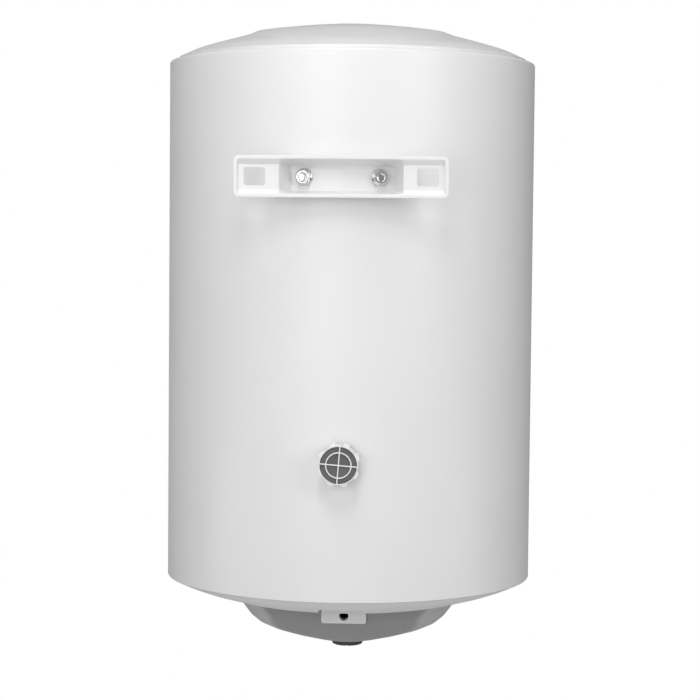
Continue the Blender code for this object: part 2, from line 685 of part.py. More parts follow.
def bracket_mesh():
    levels = (
        tray_ring(BRACKET_WIDTH / 2, BRACKET_CORNER, lambda x: half_height, lambda x: -half_height,
                  lambda x: 0.0),
        tray_ring(BRACKET_WIDTH / 2 - BRACKET_RIM, BRACKET_CORNER - 0.002, rim_top, lambda x: -rim_top(x),
                  lambda x: 0.0),
        tray_ring(BRACKET_WIDTH / 2 - BRACKET_RIM - 0.0025, BRACKET_CORNER - 0.003, floor_top, floor_bottom,
                  floor_depth),
    )
    work = bmesh.new()
    loops = [[work.verts.new(place) for place in level] for level in levels]
    count = len(loops[0])
    for outer, inner in zip(loops, loops[1:]):
        for i in range(count):
            after = (i + 1) % count
            work.faces.new((outer[i], outer[after], inner[after], inner[i]))
    floor = loops[-1]
    stations = 13
    lower_start = stations + 8
    lower = list(reversed(floor[lower_start:lower_start + stations]))
    upper = floor[:stations]
    for i in range(stations - 1):
        work.faces.new((upper[i], upper[i + 1], lower[i + 1], lower[i]))
    work.faces.new([upper[-1], *floor[stations:lower_start], lower[-1]])
    work.faces.new([lower[0], *floor[lower_start + stations:], upper[0]])
    bmesh.ops.recalc_face_normals(work, faces=work.faces)
    if max(work.faces, key=lambda face: face.calc_area()).normal.y < 0.0:
        bmesh.ops.reverse_faces(work, faces=work.faces)
    mesh = bpy.data.meshes.new("hanging_bracket")
    work.to_mesh(mesh)
    work.free()
    return mesh


bracket = new_object("hanging_bracket", bracket_mesh(), BRACKET_PAINT, (0.0, AXIS_TO_WALL, BOLT_Z))
sheet = bracket.modifiers.new("sheet", "SOLIDIFY")
sheet.thickness = BRACKET_SHEET
sheet.offset = -1.0
sheet.use_even_offset = True
seat_radius = floor_radius + 0.0007
for side_name, side in SIDES:
    outline = rounded_outline(WINDOW_WIDTH, WINDOW_HEIGHT, WINDOW_CORNER)
    window = solid_from_outline("bracket_window_" + side_name, outline, 8 * BRACKET_PAD_DEPTH, None,
                                (side * WINDOW_X, AXIS_TO_WALL, BOLT_Z), facing_wall)
    combine(bracket, window)
    direction = bolt_direction(side)
    seat = rod("bolt_seat_" + side_name, BOLT_SEAT_R, floor_radius - BRACKET_SHEET / 2, seat_radius, None,
               PART_STEPS, (0.0, 0.0, BOLT_Z), towards(direction))
    combine(bracket, seat, "UNION")
    combine(bracket, radial_hole("bracket_hole_" + side_name, BOLT_R + BOLT_CLEARANCE, 0.9 * JACKET_R,
                                 1.1 * JACKET_R, direction, BOLT_Z))
    boss_low = TANK_R + GAP
    boss_high = JACKET_R - SHEET - BOSS_END_CLEARANCE
    bolt_place = direction * (seat_radius + GAP) + Vector((0.0, 0.0, BOLT_Z))
    bolt = hex_bolt("hanging_bolt_" + side_name, BOLT_HEAD_ACROSS, BOLT_FLANGE + BOLT_HEAD, BOLT_R,
                    seat_radius - boss_low - 0.002, ZINC, bolt_place, towards(direction),
                    (BOLT_FLANGE_R, BOLT_FLANGE))
    dish_profile = ((0.0, DISH_TOP), (DISH_R, DISH_TOP), (DISH_R, 0.0), (DISH_FLOOR_R, -DISH_DEPTH),
                    (0.0, -DISH_DEPTH))
    dish = turned("bolt_dish_" + side_name, dish_profile, None, SMALL_STEPS,
                  bolt_place + direction * (BOLT_FLANGE + BOLT_HEAD),
                  towards(direction) @ Matrix.Rotation(CUTTER_TURN, 3, "Z"))
    combine(bolt, dish)
    ring("bolt_boss_" + side_name, BOLT_R + GAP, BOSS_R, boss_low, boss_high, STEEL, SMALL_STEPS,
         (0.0, 0.0, BOLT_Z), towards(direction))

# ---- Screw-out wall spacer ----

wall_point = Vector((0.0, AXIS_TO_WALL, SPACER_Z))
along_wall_axis = towards((0, 1, 0)) @ Matrix.Rotation(SPACER_REST_TURN, 3, "Z")
jacket_face = JACKET_R + GAP - AXIS_TO_WALL
core_end = SPACER_CORE_END - AXIS_TO_WALL
stem_end = SOCKET_STEM_END - AXIS_TO_WALL
spacer_socket = turned("spacer_socket", ((0.0, core_end), (SPACER_THREAD_R, core_end), (SPACER_THREAD_R,
                                                                                        jacket_face),
                                         (SOCKET_STEM_R, jacket_face), (SOCKET_STEM_R, stem_end), (0.0,
                                                                                                   stem_end)),
                       WHITE_PLASTIC, PART_STEPS, wall_point, along_wall_axis)

rib_back = -SPACER_RIB_DEPTH
cup_floor = -SPACER_CUP_DEPTH
thread_bore = SPACER_THREAD_R + THREAD_CLEARANCE
wall_spacer = rod("wall_spacer", SPACER_R, -SPACER_LENGTH, 0.0, WHITE_PLASTIC, SPACER_STEPS, wall_point,
                  along_wall_axis)
lobe_circle = SPACER_LOBE_REACH - SPACER_LOBE_R
for i, angle in enumerate(SPACER_LOBE_ANGLES):
    offset = along_wall_axis @ Vector((lobe_circle * math.cos(angle), lobe_circle * math.sin(angle), 0.0))
    lobe = rod("spacer_lobe_%d" % i, SPACER_LOBE_R, SPACER_LOBE_SET_BACK - SPACER_LENGTH,
               -SPACER_LOBE_SET_BACK, None, SMALL_STEPS, wall_point + offset, along_wall_axis)
    combine(wall_spacer, lobe, "UNION")
combine(wall_spacer, rod("spacer_bore", thread_bore, -2 * SPACER_LENGTH, 0.01, None, SPACER_STEPS, wall_point,
                         along_wall_axis))
combine(wall_spacer, rod("spacer_cup", SPACER_CUP_R, cup_floor, 0.01, None, SPACER_STEPS, wall_point,
                         along_wall_axis))
rib_half = SPACER_RIB / 2
rib_end = (SPACER_CUP_R + SPACER_R) / 2
grid = ring("spacer_grid_ring", SPACER_RING_R - rib_half, SPACER_RING_R + rib_half, rib_back,
            -SPACER_RIB_SET_BACK, None, SPACER_STEPS, wall_point, along_wall_axis)
combine(wall_spacer, grid, "UNION")
for i, (half_x, half_y) in enumerate(((rib_end, rib_half), (rib_half, rib_end))):
    set_back = SPACER_RIB_SET_BACK * (1.5 + i / 2)
    bar = box("spacer_grid_bar_%d" % i, (-half_x, -half_y, rib_back + set_back), (half_x, half_y,
                                                                                  -set_back), None)
    bar.location = wall_point + along_wall_axis @ Vector((0.0, 0.0, rib_back / 2))
    bar.rotation_euler = along_wall_axis.to_euler()
    combine(wall_spacer, bar, "UNION")

pad_front = rib_back - GAP
pad_back = pad_front - PAD_THICK
spacer_pad = rod("spacer_pad", SPACER_CUP_R - 2 * GAP, pad_back, pad_front, PAD_RUBBER, SPACER_STEPS,
                 wall_point, along_wall_axis)


def square_bar(name, half, low, high):
    bar = box(name, (-half, -half, low), (half, half, high), None)
    bar.location = wall_point + along_wall_axis @ Vector((0.0, 0.0, (low + high) / 2))
    bar.rotation_euler = along_wall_axis.to_euler()
    return bar


combine(spacer_pad, square_bar("pad_stem", PAD_STEM / 2, -SPACER_LENGTH, pad_back + PAD_THICK / 2), "UNION")
combine(spacer_socket, square_bar("pad_guide", PAD_STEM / 2 + GAP, -SPACER_LENGTH - 0.006, 0.0))

# ---- Water tank, insulation and pipes ----

def shell_half(radius, low_z, high_z, dome, mouth, rings=4):
    """Outline of a domed vessel from its top middle down to its bottom mouth."""
    top = [(radius * math.sin(a), high_z - dome + dome * math.cos(a))
           for a in (math.pi / 2 * i / rings for i in range(rings + 1))]
    mouth_turn = math.asin(mouth / radius)
    turns = [mouth_turn + (math.pi / 2 - mouth_turn) * i / rings for i in range(rings + 1)]
    bottom = [(radius * math.sin(a), low_z + dome - dome * math.cos(a)) for a in reversed(turns)]
    return top + bottom


def clipped_at(mouth, outline):
    """The outline ended where its lower dome narrows to a wider mouth."""
    widest = max(range(len(outline)), key=lambda i: outline[i][0])
    kept = outline[:widest + 1] + [place for place in outline[widest + 1:] if place[0] > mouth]
    (radius, height), (next_radius, next_height) = outline[len(kept) - 1:len(kept) + 1]
    share = (radius - mouth) / (radius - next_radius)
    return kept + [(mouth, height + (next_height - height) * share)]


tank_outer = shell_half(TANK_R, TANK_LOW, TANK_HIGH, TANK_DOME, TANK_MOUTH_R)
tank_inner = shell_half(TANK_R - TANK_WALL, TANK_LOW + TANK_WALL, TANK_HIGH - TANK_WALL,
                        TANK_DOME - TANK_WALL, TANK_MOUTH_R)
inner_tank = turned("inner_tank", tank_outer + list(reversed(tank_inner)), ENAMEL, ROUND_STEPS)

foam_side = JACKET_R - SHEET - FOAM_SIDE_CLEARANCE
foam_shoulder = spigot_r - CAP_WALL - 2 * GAP
pan_clear_r = spigot_outer - PAN_WALL - FOAM_SIDE_CLEARANCE
foam_outer = [(radius, JACKET_H + height - CAP_WALL - FOAM_GAP) for radius, height in CAP_CROWN
              if radius < foam_shoulder - CAP_WALL]
foam_outer += [(foam_shoulder, JACKET_H + CAP_BAND), (foam_shoulder, JACKET_H - CAP_SPIGOT - 2 * GAP),
               (foam_side, JACKET_H - CAP_SPIGOT - 2 * GAP), (foam_side, PAN_SPIGOT + 4 * GAP),
               (pan_clear_r, PAN_SPIGOT + 4 * GAP), (pan_clear_r, FOAM_LOW), (FOAM_MOUTH_R, FOAM_LOW)]
foam_bore_r = TANK_R + FOAM_GAP
foam_inner = clipped_at(FOAM_MOUTH_R, shell_half(foam_bore_r, TANK_LOW - FOAM_GAP, TANK_HIGH + FOAM_GAP,
                                                 TANK_DOME, TANK_MOUTH_R * foam_bore_r / TANK_R))
insulation = turned("tank_insulation", foam_outer + list(reversed(foam_inner)), FOAM, ROUND_STEPS)
for side_name, side in SIDES:
    combine(insulation, radial_hole("foam_boss_hole_" + side_name, BOSS_R + 2 * GAP, 0.8 * JACKET_R,
                                    1.1 * JACKET_R, bolt_direction(side), BOLT_Z))
combine(insulation, radial_hole("foam_socket_hole", SOCKET_STEM_R + 2 * GAP, SOCKET_STEM_END - 2 * GAP,
                                1.1 * JACKET_R, (0, 1, 0), SPACER_Z))

for pipe_name, pipe_x, collar_name, collar_finish in (("cold_inlet", PIPE_X, "cold_collar", BLUE_PLASTIC),
                                                      ("hot_outlet", -PIPE_X, "hot_collar", RED_PLASTIC)):
    place = (pipe_x, PIPE_Y, 0.0)
    thread_low = PIPE_LOW + 0.001
    pipe_profile = ((PIPE_BORE_R, PIPE_HIGH), (PIPE_R, PIPE_HIGH), (PIPE_R, thread_low), (PIPE_R - 0.001,
                                                                                          PIPE_LOW),
                    (PIPE_BORE_R, PIPE_LOW))
    turned(pipe_name, pipe_profile, STEEL, PART_STEPS, place)
    through = rod(pipe_name + "_hole", PIPE_R + PIPE_CLEARANCE, PIPE_LOW, 2 * PIPE_HIGH, None, PART_STEPS,
                  place)
    combine(inner_tank, through)
    combine(insulation, through)
    combine(bottom_pan, through)
    ring(collar_name, PIPE_R + PIPE_CLEARANCE, COLLAR_R, -PAN_DEPTH - GAP - COLLAR_THICK, -PAN_DEPTH - GAP,
         collar_finish, PART_STEPS, place)

riser_top = TANK_HIGH - TANK_DOME + dome_height(TANK_R, math.hypot(PIPE_X, PIPE_Y),
                                                TANK_DOME) - RISER_TOP_CLEARANCE
ring("hot_riser", RISER_BORE_R, RISER_R, RISER_LOW, riser_top, STEEL, SMALL_STEPS, (-PIPE_X, PIPE_Y, 0.0))

diffuser_bore = PIPE_R + GAP
diffuser_low = PIPE_HIGH - 0.010
diffuser_top = diffuser_low + DIFFUSER_HEIGHT
diffuser = turned("inlet_diffuser", ((0.0, diffuser_top), (diffuser_bore + DIFFUSER_WALL, diffuser_top),
                                     (diffuser_bore + DIFFUSER_WALL, diffuser_low), (diffuser_bore,
                                                                                     diffuser_low),
                                     (diffuser_bore, diffuser_top - DIFFUSER_WALL),
                                     (0.0, diffuser_top - DIFFUSER_WALL)),
                  WHITE_PLASTIC, PART_STEPS, (PIPE_X, PIPE_Y, 0.0))
for name, direction in (("diffuser_hole_x", (1, 0, 0)), ("diffuser_hole_y", (0, 1, 0))):
    combine(diffuser, rod(name, 0.0030, -0.03, 0.03, None, SMALL_STEPS,
                          (PIPE_X, PIPE_Y, diffuser_top - DIFFUSER_WALL - 0.0045), towards(direction)))

# ---- Flange, element, anode and sensor well ----

mouth_z = TANK_LOW + TANK_DOME - dome_height(TANK_R, TANK_MOUTH_R, TANK_DOME)
flange_ring = ring("tank_flange_ring", RING_BORE_R, RING_R, 0.0, mouth_z - GAP, STEEL, PART_STEPS)
gasket_top = -GAP
gasket_low = gasket_top - GASKET_THICK
ring("flange_gasket", RING_BORE_R + 0.0005, GASKET_R, gasket_low, gasket_top, SEAL_RUBBER, PART_STEPS)
plate_top = gasket_low - GAP
plate_low = plate_top - PLATE_THICK
flange_plate = rod("flange_plate", RING_R, plate_low, plate_top, STEEL, PART_STEPS)


def plate_hole(name, radius, place):
    combine(flange_plate, rod(name, radius + GAP, 2 * plate_low, 0.0, None, SMALL_STEPS, (*place, 0.0)))


for i in range(FLANGE_BOLTS):
    angle = math.pi / 2 + 2 * math.pi * i / FLANGE_BOLTS
    place = (FLANGE_BOLT_CIRCLE * math.cos(angle), FLANGE_BOLT_CIRCLE * math.sin(angle))
    plate_hole("plate_bolt_hole_%d" % (i + 1), FLANGE_BOLT_R, place)
    combine(flange_ring, rod("ring_bolt_hole_%d" % (i + 1), FLANGE_BOLT_R + GAP, -0.01,
                             FLANGE_BOLT_REACH + 0.0006, None, SMALL_STEPS, (*place, 0.0)))
    hex_bolt("flange_bolt_%d" % (i + 1), HEX_ACROSS, HEX_HEIGHT, FLANGE_BOLT_R,
             FLANGE_BOLT_REACH - plate_low, ZINC, (*place, plate_low - GAP), Matrix.Rotation(math.pi, 3, "X"))


def element_route():
    """Up one leg, over and down behind, under and up again, over and down the other leg."""
    leg = Vector((*ELEMENT_LEG, 0.0))
    back = Vector((*ELEMENT_BACK, 0.0))
    up = Vector((0.0, 0.0, 1.0))

    def bend(start, end, height, sign):
        middle = (start + end) / 2
        reach = (end - start).length / 2
        sweep = (start - middle).normalized()
        turns = [math.pi * i / ELEMENT_BEND_POINTS for i in range(ELEMENT_BEND_POINTS + 1)]
        return [middle + sweep * reach * math.cos(a) + up * (height + sign * reach * math.sin(a))
                for a in turns]

    left_leg = Vector((-leg.x, leg.y, 0.0))
    left_back = Vector((-back.x, back.y, 0.0))
    route = [left_leg + up * ELEMENT_END]
    route += bend(left_leg, left_back, ELEMENT_TOP, 1)
    route += bend(left_back, back, ELEMENT_LOW_BEND, -1)
    route += bend(back, leg, ELEMENT_TOP, 1)
    route.append(leg + up * ELEMENT_END)
    return route


tube("heating_element", element_route(), ELEMENT_R, COPPER)
for side_name, side in SIDES:
    place = (side * ELEMENT_LEG[0], ELEMENT_LEG[1])
    plate_hole("plate_element_hole_" + side_name, ELEMENT_R, place)
    rod("element_terminal_" + side_name, TERMINAL_R, TERMINAL_END, ELEMENT_END - GAP, ZINC, SMALL_STEPS,
        (*place, 0.0))

anode_low = 0.020
anode_end = plate_low - HEX_HEIGHT - 0.004
turned("anode_rod", ((0.0, anode_low + ANODE_LENGTH), (ANODE_R, anode_low + ANODE_LENGTH), (ANODE_R,
                                                                                            anode_low),
                     (ANODE_STUD_R, anode_low), (ANODE_STUD_R, anode_end), (0.0, anode_end)),
       MAGNESIUM, SMALL_STEPS, (*ANODE_XY, 0.0))
plate_hole("plate_anode_hole", ANODE_STUD_R, ANODE_XY)
anode_nut = rod("anode_nut", hexagon_radius(HEX_ACROSS), plate_low - GAP - HEX_HEIGHT, plate_low - GAP,
                ZINC, 6, (*ANODE_XY, 0.0))
combine(anode_nut, rod("nut_bore", ANODE_STUD_R + GAP, -0.03, 0.01, None, SMALL_STEPS, (*ANODE_XY, 0.0)))

turned("thermowell", ((0.0, WELL_TOP), (WELL_R * 0.7, WELL_TOP), (WELL_R, WELL_TOP - 0.002), (WELL_R,
                                                                                              WELL_MOUTH),
                      (WELL_BORE_R, WELL_MOUTH), (WELL_BORE_R, WELL_TOP - 0.003), (0.0, WELL_TOP - 0.003)),
       COPPER, SMALL_STEPS, (*WELL_XY, 0.0))
plate_hole("plate_well_hole", WELL_R, WELL_XY)
earth_place = (-0.030, -0.018)
pan_screw("earth_screw", BRASS, (*earth_place, plate_low - GAP), PLATE_THICK * 0.8)
plate_hole("plate_earth_hole", SCREW_SHANK_R, earth_place)

# ---- Controls on their strip ----

strip_top = -PAN_DEPTH - GAP
strip_low = STRIP_Z - STRIP_SHEET
foot_inner = STRIP_HALF - STRIP_FOOT
foot_low = strip_top - STRIP_SHEET
strip_outline = ((-STRIP_HALF, strip_top), (-STRIP_HALF, foot_low), (-foot_inner, foot_low),
                 (-foot_inner, strip_low), (foot_inner, strip_low), (foot_inner, foot_low),
                 (STRIP_HALF, foot_low), (STRIP_HALF, strip_top), (foot_inner - STRIP_SHEET, strip_top),
                 (foot_inner - STRIP_SHEET, STRIP_Z), (-foot_inner + STRIP_SHEET, STRIP_Z),
                 (-foot_inner + STRIP_SHEET, strip_top))
strip = solid_from_outline("component_strip", strip_outline, STRIP_WIDTH, ZINC, (0.0, 0.0, 0.0), facing_wall)
for side_name, side in SIDES:
    place = (side * (STRIP_HALF - STRIP_FOOT / 2), 0.0, foot_low - GAP)
    pan_screw("strip_screw_" + side_name, ZINC, place, PAN_WALL + STRIP_SHEET + 0.006)
    strip_hole = rod("strip_hole_" + side_name, screw_hole_r, -0.02, 0.02, None, SMALL_STEPS, place)
    combine(strip, strip_hole)
    combine(bottom_pan, strip_hole)


def hung_box(name, x, size, material):
    """A block that hangs under the strip."""
    top = strip_low - GAP
    return box(name, (x - size[0] / 2, -size[1] / 2, top - size[2]), (x + size[0] / 2, size[1] / 2, top),
               material)


thermostat = hung_box("thermostat_body", 0.0, THERMOSTAT_SIZE, BLACK_PLASTIC)
thermostat_low = strip_low - GAP - THERMOSTAT_SIZE[2]
bush_end = COVER_BOTTOM + COVER_WALL + GAP
combine(thermostat, rod("thermostat_bush", BUSH_R, bush_end, thermostat_low + 0.002, None, PART_STEPS),
        "UNION")
combine(thermostat, rod("spindle_bore", SPINDLE_R + SPINDLE_CLEARANCE, 1.1 * COVER_BOTTOM,
                        SPINDLE_TOP + GAP, None, PART_STEPS))

knob_top = COVER_BOTTOM - KNOB_GAP
knob_low = knob_top - KNOB_THICK
knob = turned("thermostat_knob", ((0.0, knob_top), (KNOB_R, knob_top), (KNOB_R, knob_low + 0.002),
                                  (KNOB_R - 0.002, knob_low), (0.0, knob_low)),
              KNOB_PLASTIC, PART_STEPS)
combine(knob, rod("knob_socket", SPINDLE_R + SPINDLE_CLEARANCE, SPINDLE_LOW - GAP, 0.0, None, PART_STEPS))
pointer_low = (-POINTER_HALF, KNOB_R / 4, knob_low - KNOB_THICK)
combine(knob, box("knob_pointer", pointer_low, (POINTER_HALF, 1.1 * KNOB_R, knob_low + POINTER_DEPTH), None))
rod("thermostat_spindle", SPINDLE_R, SPINDLE_LOW, SPINDLE_TOP, ZINC, PART_STEPS)

cutout = hung_box("thermal_cutout", CUTOUT_X, CUTOUT_SIZE, BLACK_PLASTIC)
cutout_low = strip_low - GAP - CUTOUT_SIZE[2]
button_low = cutout_low - BUTTON_PROUD
button_high = button_low + BUTTON_LENGTH
combine(cutout, rod("button_bore", BUTTON_R + SPINDLE_CLEARANCE, 2 * cutout_low, button_high + 0.0025, None,
                    PART_STEPS, (CUTOUT_X, 0.0, 0.0)))
rod("reset_button", BUTTON_R, button_low, button_high, RED_PLASTIC, PART_STEPS, (CUTOUT_X, 0.0, 0.0))

terminal_block = hung_box("terminal_block", TERMINAL_BLOCK_X, TERMINAL_BLOCK_SIZE, WHITE_PLASTIC)
terminal_low = strip_low - GAP - TERMINAL_BLOCK_SIZE[2]
for i in range(3):
    y = (i - 1) * TERMINAL_BLOCK_SIZE[1] / 3
    combine(terminal_block, rod("terminal_well_%d" % (i + 1), 0.0028, 1.2 * terminal_low,
                                terminal_low + 0.006, None, SMALL_STEPS, (TERMINAL_BLOCK_X, y, 0.0)))

lens_profile = ((0.0, 0.0020), (LENS_R * 0.6, 0.0015), (LENS_R, GAP), (LAMP_R, GAP), (LAMP_R,
                                                                                      -COVER_WALL * 1.4),
                (0.0, -COVER_WALL * 1.4))
facing_front = towards((0, -1, 0))
lamp_place = Vector((0.0, -FACET_Y, LAMP_Z))
turned("indicator_lens", lens_profile, AMBER_PLASTIC, PART_STEPS, lamp_place, facing_front)
combine(control_cover, rod("lens_hole", LAMP_R + GAP, -0.02, 0.01, None, PART_STEPS, lamp_place,
                           facing_front))
lamp_front = -COVER_WALL * 1.4 - GAP
rod("indicator_lamp", LAMP_R - 0.0004, lamp_front - LAMP_LENGTH, lamp_front, AMBER_PLASTIC, SMALL_STEPS,
    lamp_place, facing_front)

# ---- Wires and the sensor's capillary ----

strip_edge = STRIP_WIDTH / 2
terminal_x = ELEMENT_LEG[0]
terminal_y = ELEMENT_LEG[1]
wire_top_z = TERMINAL_END - GAP - WIRE_R
terminal_side_y = TERMINAL_BLOCK_SIZE[1] / 2 + WIRE_END_GAP
lane_y = strip_edge + 0.006
block_edge_x = TERMINAL_BLOCK_X + TERMINAL_BLOCK_SIZE[0] / 2 + WIRE_END_GAP
thermostat_edge_x = THERMOSTAT_SIZE[0] / 2 + WIRE_END_GAP
cutout_edge_x = CUTOUT_X - CUTOUT_SIZE[0] / 2 - WIRE_END_GAP
thermostat_side_y = THERMOSTAT_SIZE[1] / 2 + WIRE_END_GAP
terminal_level = (strip_low + terminal_low) / 2

tube("wire_neutral", smooth_route((
    (-terminal_x, terminal_y, wire_top_z), (-terminal_x - 0.002, lane_y - 0.004, wire_top_z - 0.001),
    (-0.034, lane_y + 0.002, terminal_level), (TERMINAL_BLOCK_X, terminal_side_y, terminal_level))),
     WIRE_R, WIRE_BLUE)
tube("wire_switched", smooth_route((
    (terminal_x, terminal_y, wire_top_z), (terminal_x + 0.001, lane_y - 0.003, wire_top_z - 0.001),
    (0.018, lane_y + 0.002, -0.045), (0.014, thermostat_side_y, -0.052))), WIRE_R, WIRE_BROWN)
tube("wire_live", smooth_route((
    (TERMINAL_BLOCK_X, -terminal_side_y, terminal_level), (-0.030, -lane_y - 0.004, -0.052),
    (0.010, -lane_y - 0.006, -0.060), (0.040, -lane_y, -0.050),
    (CUTOUT_X, -CUTOUT_SIZE[1] / 2 - WIRE_END_GAP, strip_low - CUTOUT_SIZE[2] / 2))), WIRE_R, WIRE_BROWN)
tube("wire_link", smooth_route((
    (cutout_edge_x, 0.003, -0.045), ((cutout_edge_x + thermostat_edge_x) / 2, 0.001, -0.050),
    (thermostat_edge_x, 0.003, -0.056)), 8), WIRE_R, WIRE_BROWN)
tube("wire_earth", smooth_route((
    (block_edge_x, 0.010, terminal_level), (block_edge_x + 0.004, 0.002, -0.046),
    (block_edge_x + 0.002, -strip_edge - 0.005, -0.040), (-0.034, -strip_edge - 0.006, -0.026),
    (earth_place[0], earth_place[1], plate_low - 2 * GAP - SCREW_HEAD - WIRE_R))), WIRE_R, WIRE_GREEN)
tube("wire_lamp", smooth_route((
    (0.0, -FACET_Y - lamp_front + LAMP_LENGTH + GAP, LAMP_Z), (0.0, -0.055, LAMP_Z - 0.004), (0.004, -0.036,
                                                                                              -0.050),
    (0.006, -thermostat_side_y, -0.056))), WIRE_R, WIRE_BLUE)

capillary_start = (WELL_XY[0], WELL_XY[1], WELL_MOUTH + 0.004)
bulb = tube("thermostat_bulb", smooth_route((
    capillary_start, (WELL_XY[0], WELL_XY[1], WELL_MOUTH - 0.003), (0.0, lane_y - 0.004, -0.0245),
    (0.0, lane_y, -0.036), (0.0, thermostat_side_y, -0.044)), 14), CAPILLARY_R, COPPER)
combine(bulb, rod("bulb_end", BULB_R, WELL_MOUTH + 0.002, BULB_TOP, None, SMALL_STEPS, (*WELL_XY, 0.0)),
        "UNION")

for piece in heater.objects:
    if piece.type == "MESH":
        piece.data.shade_smooth()
        piece.data.set_sharp_from_angle(angle=math.radians(35))
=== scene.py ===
"""Looks of the wall-hung tank water heater: fine meshes, materials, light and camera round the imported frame.

Places are in metres. The heater's own coordinates start on the tank's axis at the seam between the jacket
and the bottom pan, with +Z up and the wall towards +Y. Every new piece is built in them and set at AXIS.
"""

import json
import math

import bmesh
import bpy
from mathutils import Matrix, Vector


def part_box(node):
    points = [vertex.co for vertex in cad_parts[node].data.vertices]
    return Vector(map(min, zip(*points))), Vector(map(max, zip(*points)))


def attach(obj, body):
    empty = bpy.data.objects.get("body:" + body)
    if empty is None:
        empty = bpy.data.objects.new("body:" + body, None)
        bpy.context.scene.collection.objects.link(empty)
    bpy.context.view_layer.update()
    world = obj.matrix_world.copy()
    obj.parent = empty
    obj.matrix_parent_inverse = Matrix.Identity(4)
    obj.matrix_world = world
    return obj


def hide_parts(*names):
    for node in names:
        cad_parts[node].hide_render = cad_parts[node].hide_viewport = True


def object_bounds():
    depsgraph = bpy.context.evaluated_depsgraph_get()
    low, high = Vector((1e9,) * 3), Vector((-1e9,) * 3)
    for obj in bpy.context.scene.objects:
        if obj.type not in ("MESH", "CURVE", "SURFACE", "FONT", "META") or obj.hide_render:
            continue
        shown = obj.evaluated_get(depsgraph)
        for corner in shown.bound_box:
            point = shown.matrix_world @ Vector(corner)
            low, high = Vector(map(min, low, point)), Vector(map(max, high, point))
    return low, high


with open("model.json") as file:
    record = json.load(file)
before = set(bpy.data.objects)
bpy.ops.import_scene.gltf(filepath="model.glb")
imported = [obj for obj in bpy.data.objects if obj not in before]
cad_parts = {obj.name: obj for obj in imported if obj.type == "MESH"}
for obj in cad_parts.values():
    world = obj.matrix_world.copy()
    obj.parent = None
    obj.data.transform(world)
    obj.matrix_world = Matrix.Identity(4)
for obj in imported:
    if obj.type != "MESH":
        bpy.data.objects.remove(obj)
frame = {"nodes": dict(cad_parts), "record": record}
cad_low, cad_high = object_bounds()
nodes = frame["nodes"]

MM = 0.001
MERGE = 1e-6

jacket_low, jacket_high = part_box("jacket")
AXIS = Vector(((jacket_low.x + jacket_high.x) / 2, (jacket_low.y + jacket_high.y) / 2, jacket_low.z))
WALL_Y = -AXIS.y
JACKET_R = (jacket_high.x - jacket_low.x) / 2
JACKET_H = jacket_high.z - jacket_low.z
ROUND = 240
FINE = 96
SMALL = 48
SMOOTH_ANGLE = math.radians(32)
EDGE_ANGLE = math.radians(40)


def local_box(node):
    low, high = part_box(node)
    return low - AXIS, high - AXIS


# ---- Materials ----

def new_material(name):
    made = bpy.data.materials.new(name)
    made.use_nodes = True
    tree = made.node_tree
    return made, tree, tree.nodes["Principled BSDF"]


def coordinates(tree, scale=(1.0, 1.0, 1.0)):
    place = tree.nodes.new("ShaderNodeTexCoord")
    stretch = tree.nodes.new("ShaderNodeMapping")
    stretch.inputs["Scale"].default_value = scale
    tree.links.new(place.outputs["Object"], stretch.inputs["Vector"])
    return stretch.outputs["Vector"]


def noise(tree, vector, scale, detail=3.0, roughness=0.5):
    made = tree.nodes.new("ShaderNodeTexNoise")
    made.inputs["Scale"].default_value = scale
    made.inputs["Detail"].default_value = detail
    made.inputs["Roughness"].default_value = roughness
    tree.links.new(vector, made.inputs["Vector"])
    return made.outputs["Fac"]


def remap(tree, value, low, high, start=0.3, end=0.7):
    made = tree.nodes.new("ShaderNodeMapRange")
    made.inputs["From Min"].default_value = start
    made.inputs["From Max"].default_value = end
    made.inputs["To Min"].default_value = low
    made.inputs["To Max"].default_value = high
    tree.links.new(value, made.inputs["Value"])
    return made.outputs["Result"]


def two_tone(tree, value, first, second, start=0.35, end=0.65):
    ramp = tree.nodes.new("ShaderNodeValToRGB")
    ramp.color_ramp.elements[0].position = start
    ramp.color_ramp.elements[0].color = (*first, 1.0)
    ramp.color_ramp.elements[1].position = end
    ramp.color_ramp.elements[1].color = (*second, 1.0)
    tree.links.new(value, ramp.inputs["Fac"])
    return ramp.outputs["Color"]


def bump(tree, height, depth, previous=None):
    made = tree.nodes.new("ShaderNodeBump")
    made.inputs["Distance"].default_value = depth
    made.inputs["Strength"].default_value = 1.0
    tree.links.new(height, made.inputs["Height"])
    if previous is not None:
        tree.links.new(previous, made.inputs["Normal"])
    return made.outputs["Normal"]


def shade(colour, share):
    return tuple(min(1.0, c * share) for c in colour)


def moulded(name, colour, rough=0.42, grain=2600.0, depth=0.00002, spread=0.03, coat=0.0, ior=1.46):
    """Plastic or paint: a fine grain, and a faint drift in colour and gloss over the piece."""
    made, tree, shader = new_material(name)
    vector = coordinates(tree)
    drift = noise(tree, vector, 9.0, 4.0, 0.6)
    speck = noise(tree, vector, grain, 2.0)
    colours = two_tone(tree, drift, shade(colour, 1 - spread), shade(colour, 1 + spread))
    tree.links.new(colours, shader.inputs["Base Color"])
    tree.links.new(remap(tree, drift, rough - 0.04, rough + 0.05), shader.inputs["Roughness"])
    fine = bump(tree, speck, depth)
    wave = bump(tree, noise(tree, vector, 150.0, 2.0), depth * 2.5, fine)
    tree.links.new(wave, shader.inputs["Normal"])
    shader.inputs["IOR"].default_value = ior
    shader.inputs["Coat Weight"].default_value = coat
    shader.inputs["Coat Roughness"].default_value = 0.25
    return made


